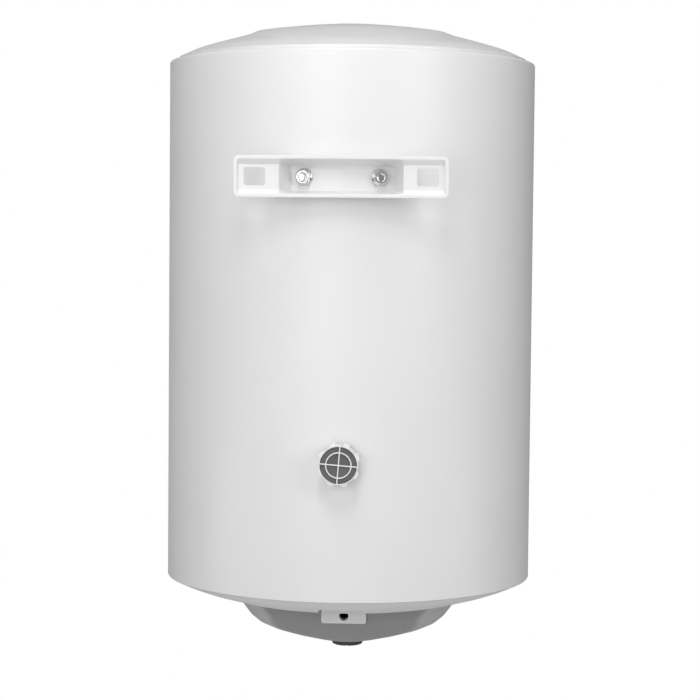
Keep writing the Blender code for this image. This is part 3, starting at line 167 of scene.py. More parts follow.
def metal(name, colour, rough=0.3, stretch=(1.0, 1.0, 30.0), depth=0.00001, tint=None, spread=0.08):
    """Metal: fine marks along one way, soft stains in colour and gloss, and a few scratches."""
    made, tree, shader = new_material(name)
    plain = coordinates(tree)
    lined = coordinates(tree, stretch)
    stain = noise(tree, plain, 70.0, 4.0, 0.6)
    marks = noise(tree, lined, 500.0, 3.0)
    second = tint or shade(colour, 1 - 2 * spread)
    tree.links.new(two_tone(tree, stain, shade(colour, 1 + spread), second), shader.inputs["Base Color"])
    tree.links.new(remap(tree, marks, rough - 0.07, rough + 0.10), shader.inputs["Roughness"])
    lines = bump(tree, marks, depth)
    tree.links.new(bump(tree, stain, depth * 6, lines), shader.inputs["Normal"])
    shader.inputs["Metallic"].default_value = 1.0
    return made


def foam(name, colour):
    """Rigid foam: open cells of two sizes under a darker, older skin."""
    made, tree, shader = new_material(name)
    vector = coordinates(tree)
    cells = tree.nodes.new("ShaderNodeTexVoronoi")
    cells.inputs["Scale"].default_value = 420.0
    tree.links.new(vector, cells.inputs["Vector"])
    age = noise(tree, vector, 16.0, 5.0, 0.6)
    tree.links.new(two_tone(tree, age, shade(colour, 0.78), colour), shader.inputs["Base Color"])
    tree.links.new(bump(tree, cells.outputs["Distance"], 0.0006), shader.inputs["Normal"])
    shader.inputs["Roughness"].default_value = 0.92
    return made


def enamel(name, colour):
    """Glassy tank enamel: deep gloss with a slow ripple and pale specks."""
    made, tree, shader = new_material(name)
    vector = coordinates(tree)
    specks = noise(tree, vector, 600.0, 2.0)
    colours = two_tone(tree, specks, colour, shade(colour, 2.6), 0.60, 0.72)
    tree.links.new(colours, shader.inputs["Base Color"])
    tree.links.new(bump(tree, noise(tree, vector, 60.0, 3.0), 0.0002), shader.inputs["Normal"])
    shader.inputs["Roughness"].default_value = 0.14
    shader.inputs["Coat Weight"].default_value = 0.6
    shader.inputs["Coat Roughness"].default_value = 0.08
    return made


def clear_plastic(name, colour):
    """Tinted lens plastic with a moulded prism pattern."""
    made, tree, shader = new_material(name)
    vector = coordinates(tree)
    prisms = tree.nodes.new("ShaderNodeTexVoronoi")
    prisms.inputs["Scale"].default_value = 900.0
    tree.links.new(vector, prisms.inputs["Vector"])
    tree.links.new(two_tone(tree, prisms.outputs["Distance"], shade(colour, 0.7), colour, 0.0, 0.6),
                   shader.inputs["Base Color"])
    tree.links.new(bump(tree, prisms.outputs["Distance"], 0.0001), shader.inputs["Normal"])
    shader.inputs["Roughness"].default_value = 0.12
    shader.inputs["Transmission Weight"].default_value = 0.35
    shader.inputs["IOR"].default_value = 1.49
    return made


def striped(name, colour, second):
    """Wire insulation in two colours, in stripes along the wire."""
    made, tree, shader = new_material(name)
    vector = coordinates(tree)
    wave = tree.nodes.new("ShaderNodeTexWave")
    wave.inputs["Scale"].default_value = 180.0
    wave.inputs["Distortion"].default_value = 0.6
    tree.links.new(vector, wave.inputs["Vector"])
    colours = two_tone(tree, wave.outputs["Fac"], colour, second, 0.48, 0.52)
    tree.links.new(colours, shader.inputs["Base Color"])
    tree.links.new(bump(tree, noise(tree, vector, 2500.0), 0.00002), shader.inputs["Normal"])
    shader.inputs["Roughness"].default_value = 0.42
    return made


def painted_side_light(made):
    """Painted side light: gives the faces that look along X a lighter colour than the ones that look along Y,
    as if lit from the sides.
    """
    tree = made.node_tree
    shader = tree.nodes["Principled BSDF"]
    source = shader.inputs["Base Color"].links[0].from_socket
    place = tree.nodes.new("ShaderNodeTexCoord")
    split = tree.nodes.new("ShaderNodeSeparateXYZ")
    tree.links.new(place.outputs["Normal"], split.inputs["Vector"])
    size = tree.nodes.new("ShaderNodeMath")
    size.operation = "ABSOLUTE"
    tree.links.new(split.outputs["X"], size.inputs[0])
    # painted side light: the colour is multiplied by up to 1.5 where the normal looks along X
    tone = remap(tree, size.outputs["Value"], 0.94, 1.50, 0.15, 0.50)
    mix = tree.nodes.new("ShaderNodeMix")
    mix.data_type = "RGBA"
    mix.blend_type = "MULTIPLY"
    mix.inputs["Factor"].default_value = 1.0
    tree.links.new(source, mix.inputs["A"])
    tree.links.new(tone, mix.inputs["B"])
    tree.links.new(mix.outputs["Result"], shader.inputs["Base Color"])


PAINT = moulded("powder_coat", (0.815, 0.815, 0.815), 0.42, 1500.0, 0.000022, 0.008, 0.15)
CAP = moulded("cap_plastic", (0.80, 0.80, 0.80), 0.38, 2600.0, 0.000012, 0.008, 0.1)
PAN = moulded("pan_plastic", (0.77, 0.77, 0.77), 0.42, 2600.0, 0.000012, 0.010)
COVER = moulded("cover_plastic", (0.295, 0.295, 0.295), 0.40, 2200.0, 0.000018, 0.03)
# the cover gets painted side light: its faces that look along X are painted lighter
painted_side_light(COVER)
ENTRY = moulded("entry_plastic", (0.72, 0.72, 0.72), 0.42, 2600.0, 0.000012, 0.02)
INNER_WHITE = moulded("inner_white_plastic", (0.78, 0.78, 0.75), 0.5, 2200.0, 0.00002, 0.03)
KNOB = moulded("knob_plastic", (0.055, 0.055, 0.057), 0.38, 2200.0, 0.00002, 0.06)
BLACK = moulded("black_plastic", (0.028, 0.028, 0.030), 0.45, 2200.0, 0.00002, 0.08)
RED = moulded("red_plastic", (0.52, 0.025, 0.020), 0.34, 2600.0, 0.00001, 0.06)
BLUE = moulded("blue_plastic", (0.020, 0.090, 0.46), 0.34, 2600.0, 0.00001, 0.06)
LENS = clear_plastic("amber_lens", (0.80, 0.26, 0.03))
BRACKET = moulded("bracket_paint", (0.81, 0.81, 0.81), 0.36, 1800.0, 0.000016, 0.008, 0.2)
BOLT = metal("bolt_zinc", (0.80, 0.80, 0.82), 0.17, (1.0, 1.0, 12.0), 0.000012, (0.62, 0.62, 0.62))
ZINC = metal("zinc_plate", (0.66, 0.67, 0.69), 0.32, (1.0, 1.0, 20.0), 0.00001, (0.58, 0.56, 0.48))
STEEL = metal("plain_steel", (0.46, 0.46, 0.47), 0.38, (1.0, 1.0, 25.0), 0.000015, (0.34, 0.31, 0.28))
SPACER = moulded("spacer_plastic", (0.83, 0.83, 0.83), 0.36, 2600.0, 0.00001, 0.01)
PAD = moulded("pad_rubber", (0.115, 0.115, 0.115), 0.48, 1600.0, 0.00003, 0.08)
ENAMEL = enamel("tank_enamel", (0.018, 0.035, 0.060))
FOAM = foam("insulating_foam", (0.78, 0.66, 0.40))
SEAL = moulded("seal_rubber", (0.022, 0.022, 0.022), 0.62, 1400.0, 0.00004, 0.1)
COPPER = metal("copper", (0.80, 0.42, 0.28), 0.26, (1.0, 1.0, 10.0), 0.00001, (0.45, 0.20, 0.13))
BRASS = metal("brass", (0.78, 0.60, 0.27), 0.24, (1.0, 1.0, 10.0), 0.00001, (0.55, 0.40, 0.18))
MAGNESIUM = metal("magnesium", (0.52, 0.52, 0.51), 0.55, (1.0, 1.0, 4.0), 0.00005, (0.36, 0.36, 0.35))
BROWN_WIRE = moulded("wire_brown", (0.16, 0.060, 0.022), 0.42, 2600.0, 0.00001, 0.08)
BLUE_WIRE = moulded("wire_blue", (0.020, 0.10, 0.42), 0.42, 2600.0, 0.00001, 0.08)
GREEN_WIRE = striped("wire_green", (0.05, 0.30, 0.04), (0.75, 0.62, 0.03))

BY_SLOT = dict(
    jacket_paint=PAINT, cap_plastic=CAP, pan_plastic=PAN, cover_plastic=COVER, entry_plastic=ENTRY,
    inner_white_plastic=INNER_WHITE, knob_plastic=KNOB, black_plastic=BLACK, red_plastic=RED,
    blue_plastic=BLUE, amber_lens=LENS, bracket_paint=BRACKET, bolt_zinc=BOLT, zinc=ZINC, steel=STEEL,
    spacer_plastic=SPACER, pad_rubber=PAD, tank_enamel=ENAMEL, foam=FOAM, seal_rubber=SEAL, copper=COPPER,
    brass=BRASS, magnesium=MAGNESIUM, wire_brown=BROWN_WIRE, wire_blue=BLUE_WIRE, wire_green=GREEN_WIRE,
)
SLOT_OF = {row["node"]: row["material_slot"] for row in frame["record"]["subparts"]}
BODY_OF = {node: body for body, members in frame["record"]["behaviour"]["bodies"].items() for node in members}

for node_name, node_object in nodes.items():
    node_object.data.materials.clear()
    node_object.data.materials.append(BY_SLOT[SLOT_OF[node_name]])
    for polygon in node_object.data.polygons:
        polygon.material_index = 0


# ---- Mesh helpers ----

def from_faces(name, points, faces, angle=SMOOTH_ANGLE):
    mesh = bpy.data.meshes.new(name)
    mesh.from_pydata([tuple(point) for point in points], [], faces)
    work = bmesh.new()
    work.from_mesh(mesh)
    bmesh.ops.remove_doubles(work, verts=work.verts, dist=MERGE)
    bmesh.ops.recalc_face_normals(work, faces=work.faces)
    work.to_mesh(mesh)
    work.free()
    mesh.shade_smooth()
    mesh.set_sharp_from_angle(angle=angle)
    made = bpy.data.objects.new(name, mesh)
    bpy.context.scene.collection.objects.link(made)
    return made


def applied(piece):
    """The piece with its modifiers made part of its mesh."""
    graph = bpy.context.evaluated_depsgraph_get()
    mesh = bpy.data.meshes.new_from_object(piece.evaluated_get(graph))
    piece.modifiers.clear()
    piece.data = mesh
    mesh.shade_smooth()
    mesh.set_sharp_from_angle(angle=SMOOTH_ANGLE)
    return piece


def combine(piece, other, operation="DIFFERENCE"):
    """Cuts or joins with another solid, which is used up."""
    modifier = piece.modifiers.new("combine", "BOOLEAN")
    modifier.operation = operation
    modifier.object = other
    modifier.solver = "EXACT"
    bpy.context.view_layer.update()
    applied(piece)
    bpy.data.objects.remove(other, do_unlink=True)
    return piece


def soften(piece, width, segments=2):
    """Small round edges where faces meet at more than EDGE_ANGLE."""
    modifier = piece.modifiers.new("soften", "BEVEL")
    modifier.width = width
    modifier.segments = segments
    modifier.limit_method = "ANGLE"
    modifier.angle_limit = EDGE_ANGLE
    modifier.use_clamp_overlap = True
    modifier.harden_normals = False
    return applied(piece)


def rounded(points, radii, segments=5, closed=True):
    """A polyline with its corners made round. radii is one value or one for each point."""
    count = len(points)
    if not hasattr(radii, "__len__"):
        radii = [radii] * count
    made = []
    for i, (point, radius) in enumerate(zip(points, radii)):
        point = Vector(point)
        if radius <= 0.0 or (not closed and i in (0, count - 1)):
            made.append(point)
            continue
        before = Vector(points[i - 1]) - point
        after = Vector(points[(i + 1) % count]) - point
        half = max(0.02, before.angle(after) / 2)
        reach = min(radius / math.tan(half), 0.48 * before.length, 0.48 * after.length)
        start = point + before.normalized() * reach
        end = point + after.normalized() * reach
        for j in range(segments + 1):
            t = j / segments
            made.append(start * (1 - t) ** 2 + point * 2 * t * (1 - t) + end * t ** 2)
    return made


def ring_point(radius, turn, height):
    return Vector((radius * math.cos(turn), radius * math.sin(turn), height))


def strip_faces(first, second):
    """Faces between two rows of point numbers."""
    return [(first[i], first[i + 1], second[i + 1], second[i]) for i in range(len(first) - 1)]


def ring_faces(first, second):
    """Faces between two rows of point numbers that each close on themselves."""
    return strip_faces([*first, first[0]], [*second, second[0]])


def lathe(name, outline, steps=FINE, angle=SMOOTH_ANGLE, dent=None):
    """An outline of (radius, height) points turned round Z. A dent says how far the skin sinks at a radius
    and a turn."""
    rows = []
    points = []
    for radius, height in outline:
        if radius < MERGE:
            rows.append([len(points)] * steps)
            points.append(Vector((0.0, 0.0, height)))
            continue
        rows.append(list(range(len(points), len(points) + steps)))
        for i in range(steps):
            turn = 2 * math.pi * i / steps
            points.append(ring_point(radius - (dent(radius, turn) if dent else 0.0), turn, height))
    if outline[0][0] > MERGE or outline[-1][0] > MERGE:
        rows.append(rows[0])
    faces = []
    for upper, lower in zip(rows, rows[1:]):
        for i in range(steps):
            j = (i + 1) % steps
            corners = (upper[i], lower[i], lower[j], upper[j])
            faces.append(list(dict.fromkeys(corners)))
    return from_faces(name, points, [face for face in faces if len(face) > 2], angle)


def bar(radius, top, foot):
    """A round bar along Z, for holes and posts."""
    return lathe("bar", [(0, top), (radius, top), (radius, foot), (0, foot)], SMALL)


def prism(name, outline, thickness):
    """A flat outline in XY given a thickness, centred on Z."""
    count = len(outline)
    half = thickness / 2
    points = [Vector((x, y, -half)) for x, y in outline] + [Vector((x, y, half)) for x, y in outline]
    low_face = list(range(count))
    high_face = list(range(count, 2 * count))
    return from_faces(name, points, [low_face, high_face, *ring_faces(low_face, high_face)])


def block(name, low, high, edge=0.0):
    """A box between two corners, with round edges where edge is their width."""
    low = Vector(low)
    high = Vector(high)
    outline = [(low.x, low.y), (high.x, low.y), (high.x, high.y), (low.x, high.y)]
    made = prism(name, outline, high.z - low.z)
    made.data.transform(Matrix.Translation((0.0, 0.0, (low.z + high.z) / 2)))
    if edge > 0.0:
        soften(made, edge, 3)
    return made


def turned_to(piece, direction, place=(0.0, 0.0, 0.0)):
    """Lays the piece's Z along a direction and moves it, in its mesh."""
    turn = Vector(direction).to_track_quat("Z", "Y").to_matrix().to_4x4()
    piece.data.transform(Matrix.Translation(place) @ turn)
    return piece


def shifted(piece, place):
    piece.data.transform(Matrix.Translation(place))
    return piece


def round_box(width, height, corner, segments=6):
    x = width / 2
    z = height / 2
    return rounded(((x, z), (-x, z), (-x, -z), (x, -z)), corner, segments)


def place_piece(piece, node):
    """Sets a finished piece in place of a CAD node, on the node's body and in its finish."""
    piece.location = AXIS
    piece.data.materials.clear()
    piece.data.materials.append(BY_SLOT[SLOT_OF[node]])
    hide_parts(node)
    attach(piece, BODY_OF[node])
    return piece


def smooth_step(low, high, value):
    share = min(1.0, max(0.0, (value - low) / (high - low)))
    return share * share * (3 - 2 * share)


# ---- Shared sizes, as in the frame ----

bracket_low, bracket_high = local_box("hanging_bracket")
BRACKET_Z = (bracket_low.z + bracket_high.z) / 2
BRACKET_W = bracket_high.x - bracket_low.x
BRACKET_HALF = (bracket_high.z - bracket_low.z) / 2
spacer_low, spacer_high = local_box("spacer_pad")
SPACER_Z = (spacer_low.z + spacer_high.z) / 2
entry_low, entry_high = local_box("cable_entry")
pipe_low, pipe_high = local_box("cold_inlet")
GAP = 0.3 * MM
SHEET = 2.0 * MM
BOLT_X = 42.4 * MM
BOLT_HOLE_R = 4.5 * MM
COVER_SCREW_X = 100 * MM
SCREW_HOLE_R = 2.3 * MM
SIDES = (("left", -1), ("right", 1))


def bolt_direction(side):
    turn = math.asin(BOLT_X / JACKET_R)
    return Vector((side * math.sin(turn), math.cos(turn), 0.0))


def bolt_hole(side, place):
    """What a hanging bolt's hole takes out, in line with the bolt."""
    return turned_to(bar(BOLT_HOLE_R, 1.1 * JACKET_R, 0.9 * JACKET_R), bolt_direction(side), place)


# ---- Jacket ----

JACKET_SHEET = 0.8 * MM
JACKET_BEND = 4.0 * MM
JACKET_LIP_R = JACKET_R - 20.0 * MM
JACKET_HEM = 0.3 * MM
JACKET_FOOT = 2.6 * MM
BOLT_BAND = 15 * MM
SPACER_BAND = 14 * MM
SPACER_HOLE_R = 8.5 * MM


def make_jacket():
    """A sheet tube with a lip at its top. Rows above and below the holes keep them from creasing the rest."""
    inner = JACKET_R - JACKET_SHEET
    under_lip = JACKET_H - JACKET_SHEET
    levels = [BRACKET_Z + BOLT_BAND, BRACKET_Z - BOLT_BAND, SPACER_Z + SPACER_BAND, SPACER_Z - SPACER_BAND]
    outside = [(JACKET_R, level) for level in levels]
    inside = [(inner, level) for level in reversed(levels)]
    corners = [(JACKET_LIP_R, JACKET_H), (JACKET_R, JACKET_H), *outside, (JACKET_R, 0.0), (inner, 0.0),
               *inside, (inner, under_lip), (JACKET_LIP_R, under_lip)]
    straight = [0] * len(levels)
    radii = [JACKET_HEM, JACKET_BEND, *straight, JACKET_FOOT, JACKET_HEM, *straight,
             JACKET_BEND - JACKET_SHEET, JACKET_HEM]
    piece = lathe("jacket_shell", rounded(corners, radii, 8), ROUND)
    for _, side in SIDES:
        combine(piece, bolt_hole(side, (0, 0, BRACKET_Z)))
    hole = bar(SPACER_HOLE_R, 1.1 * JACKET_R, 0.9 * JACKET_R)
    combine(piece, turned_to(hole, (0, 1, 0), (0, 0, SPACER_Z)))
    return place_piece(piece, "jacket")


# ---- Top cap ----

# (radius, height over the jacket) in millimetres, down the crown
CAP_CROWN = ((0.0, 45.2), (25, 44.4), (50, 42.1), (75, 39.2), (100, 36.0), (120, 33.2), (136, 30.4),
             (150, 26.6), (160, 23.8), (170, 20.9), (180, 18.0), (190, 14.9), (198, 11.8), (205, 8.6),
             (211.5, 5.4))
CAP_WALL = 2.5 * MM
CAP_BAND = 4.3 * MM
CAP_SPIGOT_R = JACKET_R - 21.0 * MM
CAP_SPIGOT = 6 * MM
CROWN_BLEND = 60 * MM
CAP_RISE = 3.0 * MM
RISE_REACH = 190 * MM
RISE_HALF = 122 * MM
RISE_EDGE = 8 * MM


def cap_rise(x, y):
    """Height of the cap's raised middle, which narrows and fades towards the wall and away from it."""
    reach = abs(y) / RISE_REACH
    if reach >= 1.0:
        return 0.0
    edge = RISE_HALF * math.sqrt(1.0 - 0.80 * reach ** 2)
    inside = 1.0 - smooth_step(edge - RISE_EDGE, edge + RISE_EDGE, abs(x))
    return CAP_RISE * inside * (1.0 - reach ** 3)


def make_cap():
    _, cap_high = local_box("top_cap")
    rim_r = cap_high.x
    foot = JACKET_H + GAP
    shelf = JACKET_H + CAP_BAND
    crown = [(r * MM, JACKET_H + h * MM) for r, h in CAP_CROWN]
    smooth = rounded(crown, [0.0] + [CROWN_BLEND] * (len(crown) - 2) + [0.0], 10, closed=False)
    rim_inner = rim_r - CAP_WALL
    spigot_inner = CAP_SPIGOT_R - CAP_WALL
    rim = [(rim_r, shelf), (rim_r, foot), (rim_inner, foot), (rim_inner, JACKET_H + CAP_BAND / 2),
           (CAP_SPIGOT_R, shelf), (CAP_SPIGOT_R, JACKET_H - CAP_SPIGOT),
           (spigot_inner, JACKET_H - CAP_SPIGOT), (spigot_inner, shelf + CAP_WALL / 2)]
    edge = rounded([smooth[-1], *rim], [0, 0.7 * MM, 0.5 * MM, 0, 0, 0, 0, 0, 0], 4, closed=False)
    inside = [(r, h - CAP_WALL) for r, h in reversed(smooth) if r < CAP_SPIGOT_R - 2 * CAP_WALL]
    piece = lathe("cap_shell", [*smooth[:-1], *edge, *inside], ROUND, math.radians(50))
    for vertex in piece.data.vertices:
        # Only the outer skin rises: what is within half the wall of the crown and clear of the rim
        reach = math.hypot(vertex.co.x, vertex.co.y)
        skin = max(h for r, h in smooth if r >= reach - 3 * MM) if reach < smooth[-1][0] else JACKET_H
        if vertex.co.z > skin - 1.2 * MM and vertex.co.z > JACKET_H + 8 * MM:
            vertex.co.z += cap_rise(vertex.co.x, vertex.co.y)
    return place_piece(piece, "top_cap")


# ---- Bottom pan ----

# (radius, height) in millimetres, down the pan's underside
PAN_BOWL = ((222.2, -1.5), (215, -4.9), (205, -9.2), (190, -14.6), (170, -20.5), (155, -24.9), (150, -25.55))
PAN_WALL = 2 * MM
PAN_BLEND = 60 * MM
PAN_FLAT_R = 148 * MM
PAN_OPENING_R = 67 * MM
PAN_SPIGOT_R = JACKET_R - 1.4 * MM
PAN_SPIGOT = 12 * MM
PIPE_HOLE_R = 11 * MM
STRIP_SCREW_X = 74.5 * MM
CHANNEL_HALF = 27.7 * MM
CHANNEL_START = 60 * MM
CHANNEL_END = JACKET_R - 35 * MM
CHANNEL_SLOPE = 0.17
CHANNEL_END_Z = -14.7 * MM
CHANNEL_FOOT = -80 * MM


def channel(name, grow, corner):
    """What the cable channel takes out of the pan: a long round-cornered bar under a sloping plane."""
    half = CHANNEL_HALF + grow
    lift = 1.5 * grow
    points = []
    for y in (CHANNEL_START, 1.3 * JACKET_R):
        top = CHANNEL_END_Z + lift + (y - CHANNEL_END) * CHANNEL_SLOPE
        section = [(half, CHANNEL_FOOT), (half, top), (-half, top), (-half, CHANNEL_FOOT)]
        points += [Vector((x, y, z)) for x, z in rounded(section, [0, corner, corner, 0], 6)]
    first = list(range(len(points) // 2))
    second = list(range(len(points) // 2, len(points)))
    return from_faces(name, points, [first, second, *ring_faces(first, second)])


def make_pan():
    pan_low, _ = local_box("bottom_pan")
    bottom = pan_low.z
    bowl = [(r * MM, z * MM) for r, z in PAN_BOWL]
    outer = [(PAN_OPENING_R, PAN_SPIGOT), (PAN_SPIGOT_R, PAN_SPIGOT), (PAN_SPIGOT_R, -GAP),
             (JACKET_R - 0.1 * MM, -GAP), *bowl, (PAN_FLAT_R, bottom), (PAN_OPENING_R, bottom)]
    radii = [0, 0.4 * MM, 0, 0.25 * MM] + [PAN_BLEND] * (len(bowl) - 1) + [8 * MM, 0, 0.6 * MM]
    piece = lathe("pan_shell", rounded(outer, radii, 5), ROUND, math.radians(50))
    inner = [(0.0, 30 * MM), (PAN_SPIGOT_R - PAN_WALL, 30 * MM), (PAN_SPIGOT_R - PAN_WALL, 0.0),
             *((r - 1.0 * MM, z + PAN_WALL) for r, z in bowl[2:]), (0.0, bottom + PAN_WALL)]
    hollow = lathe("hollow", inner, ROUND)
    combine(hollow, channel("inside", PAN_WALL, 5 * MM))
    combine(piece, channel("outside", 0.0, 3 * MM))
    combine(piece, hollow)
    pipe_x = (pipe_low.x + pipe_high.x) / 2
    pipe_y = (pipe_low.y + pipe_high.y) / 2
    for x, y, radius in ((pipe_x, pipe_y, PIPE_HOLE_R), (COVER_SCREW_X, 0, SCREW_HOLE_R),
                         (STRIP_SCREW_X, 0, SCREW_HOLE_R)):
        for side in (1, -1):
            combine(piece, shifted(bar(radius, 50 * MM, -60 * MM), (side * x, y, 0)))
    return place_piece(piece, "bottom_pan")


# ---- Control cover ----

# (radius, height) in millimetres, down the bowl from its rim
COVER_BOWL = ((139.0, -25.9), (135.7, -31), (132.6, -36), (129, -41.1), (122.2, -50), (113.2, -57.7),
              (98, -64.7), (76, -71.8), (45, -80.3), (29, -84.0), (22, -85))
COVER_RIM_Z = COVER_BOWL[0][1] * MM
COVER_END_Z = COVER_BOWL[-1][1] * MM
COVER_WALL = 2.5 * MM
COVER_BLEND = 7 * MM
COVER_ROWS = 46
FACET_Y = 92 * MM
FACET_BEND = -42.4 * MM
FACET_SOFT = 3 * MM
FACET_TILT = math.radians(42.5)
POST_R = 6.5 * MM
WELL_R = 4.8 * MM
SCREW_SEAT = -33.5 * MM
KNOB_HOLE_R = 5.3 * MM
KNOB_HOLE_TOP = -76 * MM
LAMP_HOLE_R = 3.7 * MM
BELOW = -100 * MM


def bowl_radius(z):
    """Radius of the cover's bowl at a height."""
    for (r0, z0), (r1, z1) in zip(COVER_BOWL, COVER_BOWL[1:]):
        if z >= z1 * MM:
            share = (z - z0 * MM) / ((z1 - z0) * MM)
            return (r0 + (r1 - r0) * share) * MM
    return COVER_BOWL[-1][0] * MM


def facet_y(z):
    """How far from the axis the cover's flat side stands at a height, with a soft bend."""
    below = FACET_BEND - z
    lean = 0.5 * (below + math.sqrt(below * below + FACET_SOFT * FACET_SOFT))
    return FACET_Y - lean * math.tan(FACET_TILT)


def soft_min(a, b, blend):
    """The smaller of two values, with a round change from one to the other."""
    share = max(0.0, min(1.0, 0.5 + 0.5 * (b - a) / blend))
    return a * share + b * (1 - share) - blend * share * (1 - share)


def bowl_solid(name, inset, top, floor):
    """The cover's outer form, or its inside when inset is its wall: a bowl with flats towards +Y and -Y."""
    steps = 3 * FINE
    levels = [top, COVER_RIM_Z]
    levels += [COVER_RIM_Z + (floor - COVER_RIM_Z) * i / COVER_ROWS for i in range(1, COVER_ROWS + 1)]
    points = []
    for z in levels:
        drop = max(min(z, COVER_RIM_Z) - inset * 0.6, COVER_END_Z)
        for i in range(steps):
            turn = 2 * math.pi * i / steps
            radius = bowl_radius(drop) - inset * 0.9
            across = abs(math.sin(turn))
            if across > 0.2:
                radius = soft_min(radius, (facet_y(drop) - inset * 0.75) / across, COVER_BLEND)
            points.append(ring_point(radius, turn, z))
    rows = [range(k * steps, (k + 1) * steps) for k in range(len(levels))]
    faces = []
    for upper, lower in zip(rows, rows[1:]):
        faces += ring_faces(upper, lower)
    for row, z in ((rows[0], levels[0]), (rows[-1], levels[-1])):
        faces += [(row[i], row[(i + 1) % steps], len(points)) for i in range(steps)]
        points.append(Vector((0, 0, z)))
    return from_faces(name, points, faces)


def make_cover():
    cover_low, cover_high = local_box("control_cover")
    piece = bowl_solid("cover_shell", 0.0, cover_high.z, cover_low.z)
    hollow = bowl_solid("hollow", COVER_WALL, 10 * MM, cover_low.z + COVER_WALL)
    for side in (1, -1):
        combine(hollow, shifted(bar(POST_R, 20 * MM, BELOW), (side * COVER_SCREW_X, 0, 0)))
    combine(piece, hollow)
    for side in (1, -1):
        combine(piece, shifted(bar(WELL_R, SCREW_SEAT, BELOW), (side * COVER_SCREW_X, 0, 0)))
        combine(piece, shifted(bar(SCREW_HOLE_R, 10 * MM, BELOW), (side * COVER_SCREW_X, 0, 0)))
    combine(piece, bar(KNOB_HOLE_R, KNOB_HOLE_TOP, BELOW))
    width = entry_high.x - entry_low.x + 2 * GAP
    height = entry_high.z - entry_low.z + 2 * GAP
    window = prism("window", round_box(width, height, ENTRY_CORNER), 50 * MM)
    combine(piece, turned_to(window, (0, 1, 0), (0, 90 * MM, (entry_high.z + entry_low.z) / 2)))
    lamp_low, lamp_high = local_box("indicator_lens")
    lamp_z = (lamp_low.z + lamp_high.z) / 2
    combine(piece, turned_to(bar(LAMP_HOLE_R, 12 * MM, -12 * MM), (0, -1, 0), (0, -FACET_Y, lamp_z)))
    return place_piece(piece, "control_cover")


# ---- Cable entry ----

ENTRY_CORNER = 3.0 * MM
ENTRY_DEPTH = 14.5 * MM
ENTRY_HOLE_R = 5.6 * MM
ENTRY_HOLE_Z = -39.2 * MM
ENTRY_SPLIT_Z = -36.3 * MM
GROOVE_HALF = 0.3 * MM
GROOVE_DEPTH = 0.45 * MM
SADDLE_HALF = 16 * MM
CLAMP_SCREW_X = 11 * MM


def make_entry():
    face_y = entry_high.y
    back_y = face_y - ENTRY_DEPTH
    width = entry_high.x - entry_low.x
    middle_z = (entry_low.z + entry_high.z) / 2
    piece = prism("entry_insert", round_box(width, entry_high.z - entry_low.z, ENTRY_CORNER), ENTRY_DEPTH)
    soften(piece, 0.8 * MM, 4)
    turned_to(piece, (0, 1, 0), (0, face_y - ENTRY_DEPTH / 2, middle_z))
    saddle = block("saddle", (-SADDLE_HALF, entry_low.y, entry_low.z + 0.3 * MM),
                   (SADDLE_HALF, back_y + 2 * MM, entry_low.z + 3 * MM), 0.4 * MM)
    combine(piece, saddle, "UNION")
    # The hole is a circle with a flat at its top, where the outline's ends meet
    turns = [math.radians(-215 + 250 * i / 40) for i in range(41)]
    bore = prism("bore", [(ENTRY_HOLE_R * math.cos(t), ENTRY_HOLE_R * math.sin(t)) for t in turns], 60 * MM)
    turn = Matrix(((1, 0, 0, 0), (0, 0, -1, face_y - 10 * MM), (0, 1, 0, ENTRY_HOLE_Z), (0, 0, 0, 1)))
    bore.data.transform(turn)
    combine(piece, bore)
    for side in (-1, 1):
        start = side * (ENTRY_HOLE_R + 0.2 * MM)
        end = side * (width / 2 - 1.6 * MM)
        groove = block("groove", (min(start, end), face_y - GROOVE_DEPTH, ENTRY_SPLIT_Z - GROOVE_HALF),
                       (max(start, end), face_y + 2 * MM, ENTRY_SPLIT_Z + GROOVE_HALF))
        combine(piece, groove)
        hole = bar(SCREW_HOLE_R, -20 * MM, -52 * MM)
        combine(piece, shifted(hole, (side * CLAMP_SCREW_X, back_y - 6 * MM, 0)))
    return place_piece(piece, "cable_entry")


# ---- Hanging bracket ----

RIM = 3.8 * MM
PAD_DEPTH = 5.0 * MM
PAD_INNER = 70 * MM
POCKET = 58 * MM
POCKET_EDGE = 0.06
FLOOR_R = JACKET_R + GAP + SHEET
FLOOR_STEPS = 26
BRACKET_CORNER = 6.0 * MM
BRACKET_SKIN = 0.8 * MM
CORNER_STEPS = 10
WINDOW = (24.6 * MM, 20.4 * MM)
WINDOW_CORNER = 3.0 * MM
WINDOW_X = 97.5 * MM
NUB_X = 40 * MM
SEAT_DROP = 1.2 * MM
SEAT_OUTER = 51 * MM
SEAT_INNER = 35.5 * MM
SEAT_TAPER = 3.6 * MM


def pocket_share(x):
    """0 on the end pads, 1 over the deep middle pocket."""
    return min(1.0, max(0.0, (PAD_INNER - abs(x)) / (PAD_INNER - POCKET)))


def pocket_depth(x):
    """Depth of the tray's floor, which follows the jacket over the pocket."""
    reach = min(abs(x), PAD_INNER)
    deep = WALL_Y - math.sqrt(FLOOR_R ** 2 - reach ** 2)
    share = pocket_share(x)
    soft = share - POCKET_EDGE / math.tau * math.sin(math.tau * share) if 0 < share < 1 else share
    return PAD_DEPTH + (deep - PAD_DEPTH) * soft


def wall_section(lean, drop, foot, flat, depth, radii):
    """(distance from the rim's edge, depth) from the rim down a leaning wall to the floor. The count of
    points is the same wherever it is taken."""
    points = [(0.0, 0.9 * MM), (0.0, 0.0), (RIM, 0.0), (RIM + lean * MM, depth - drop * MM),
              (RIM + foot * MM, depth), (RIM + flat * MM, depth)]
    return rounded(points, [0, 0.7 * MM, 1.4 * MM, radii[0] * MM, radii[1] * MM, 0], 5, closed=False)


def top_section(x):
    share = pocket_share(x)
    radii = (0.6 + 1.0 * share, 0.4 + 2.0 * share)
    return wall_section(5.2 + 0.8 * share, 0.75 + 2.75 * share, 5.9 + 4.5 * share, 7.4 + 4.5 * share,
                        pocket_depth(x), radii)


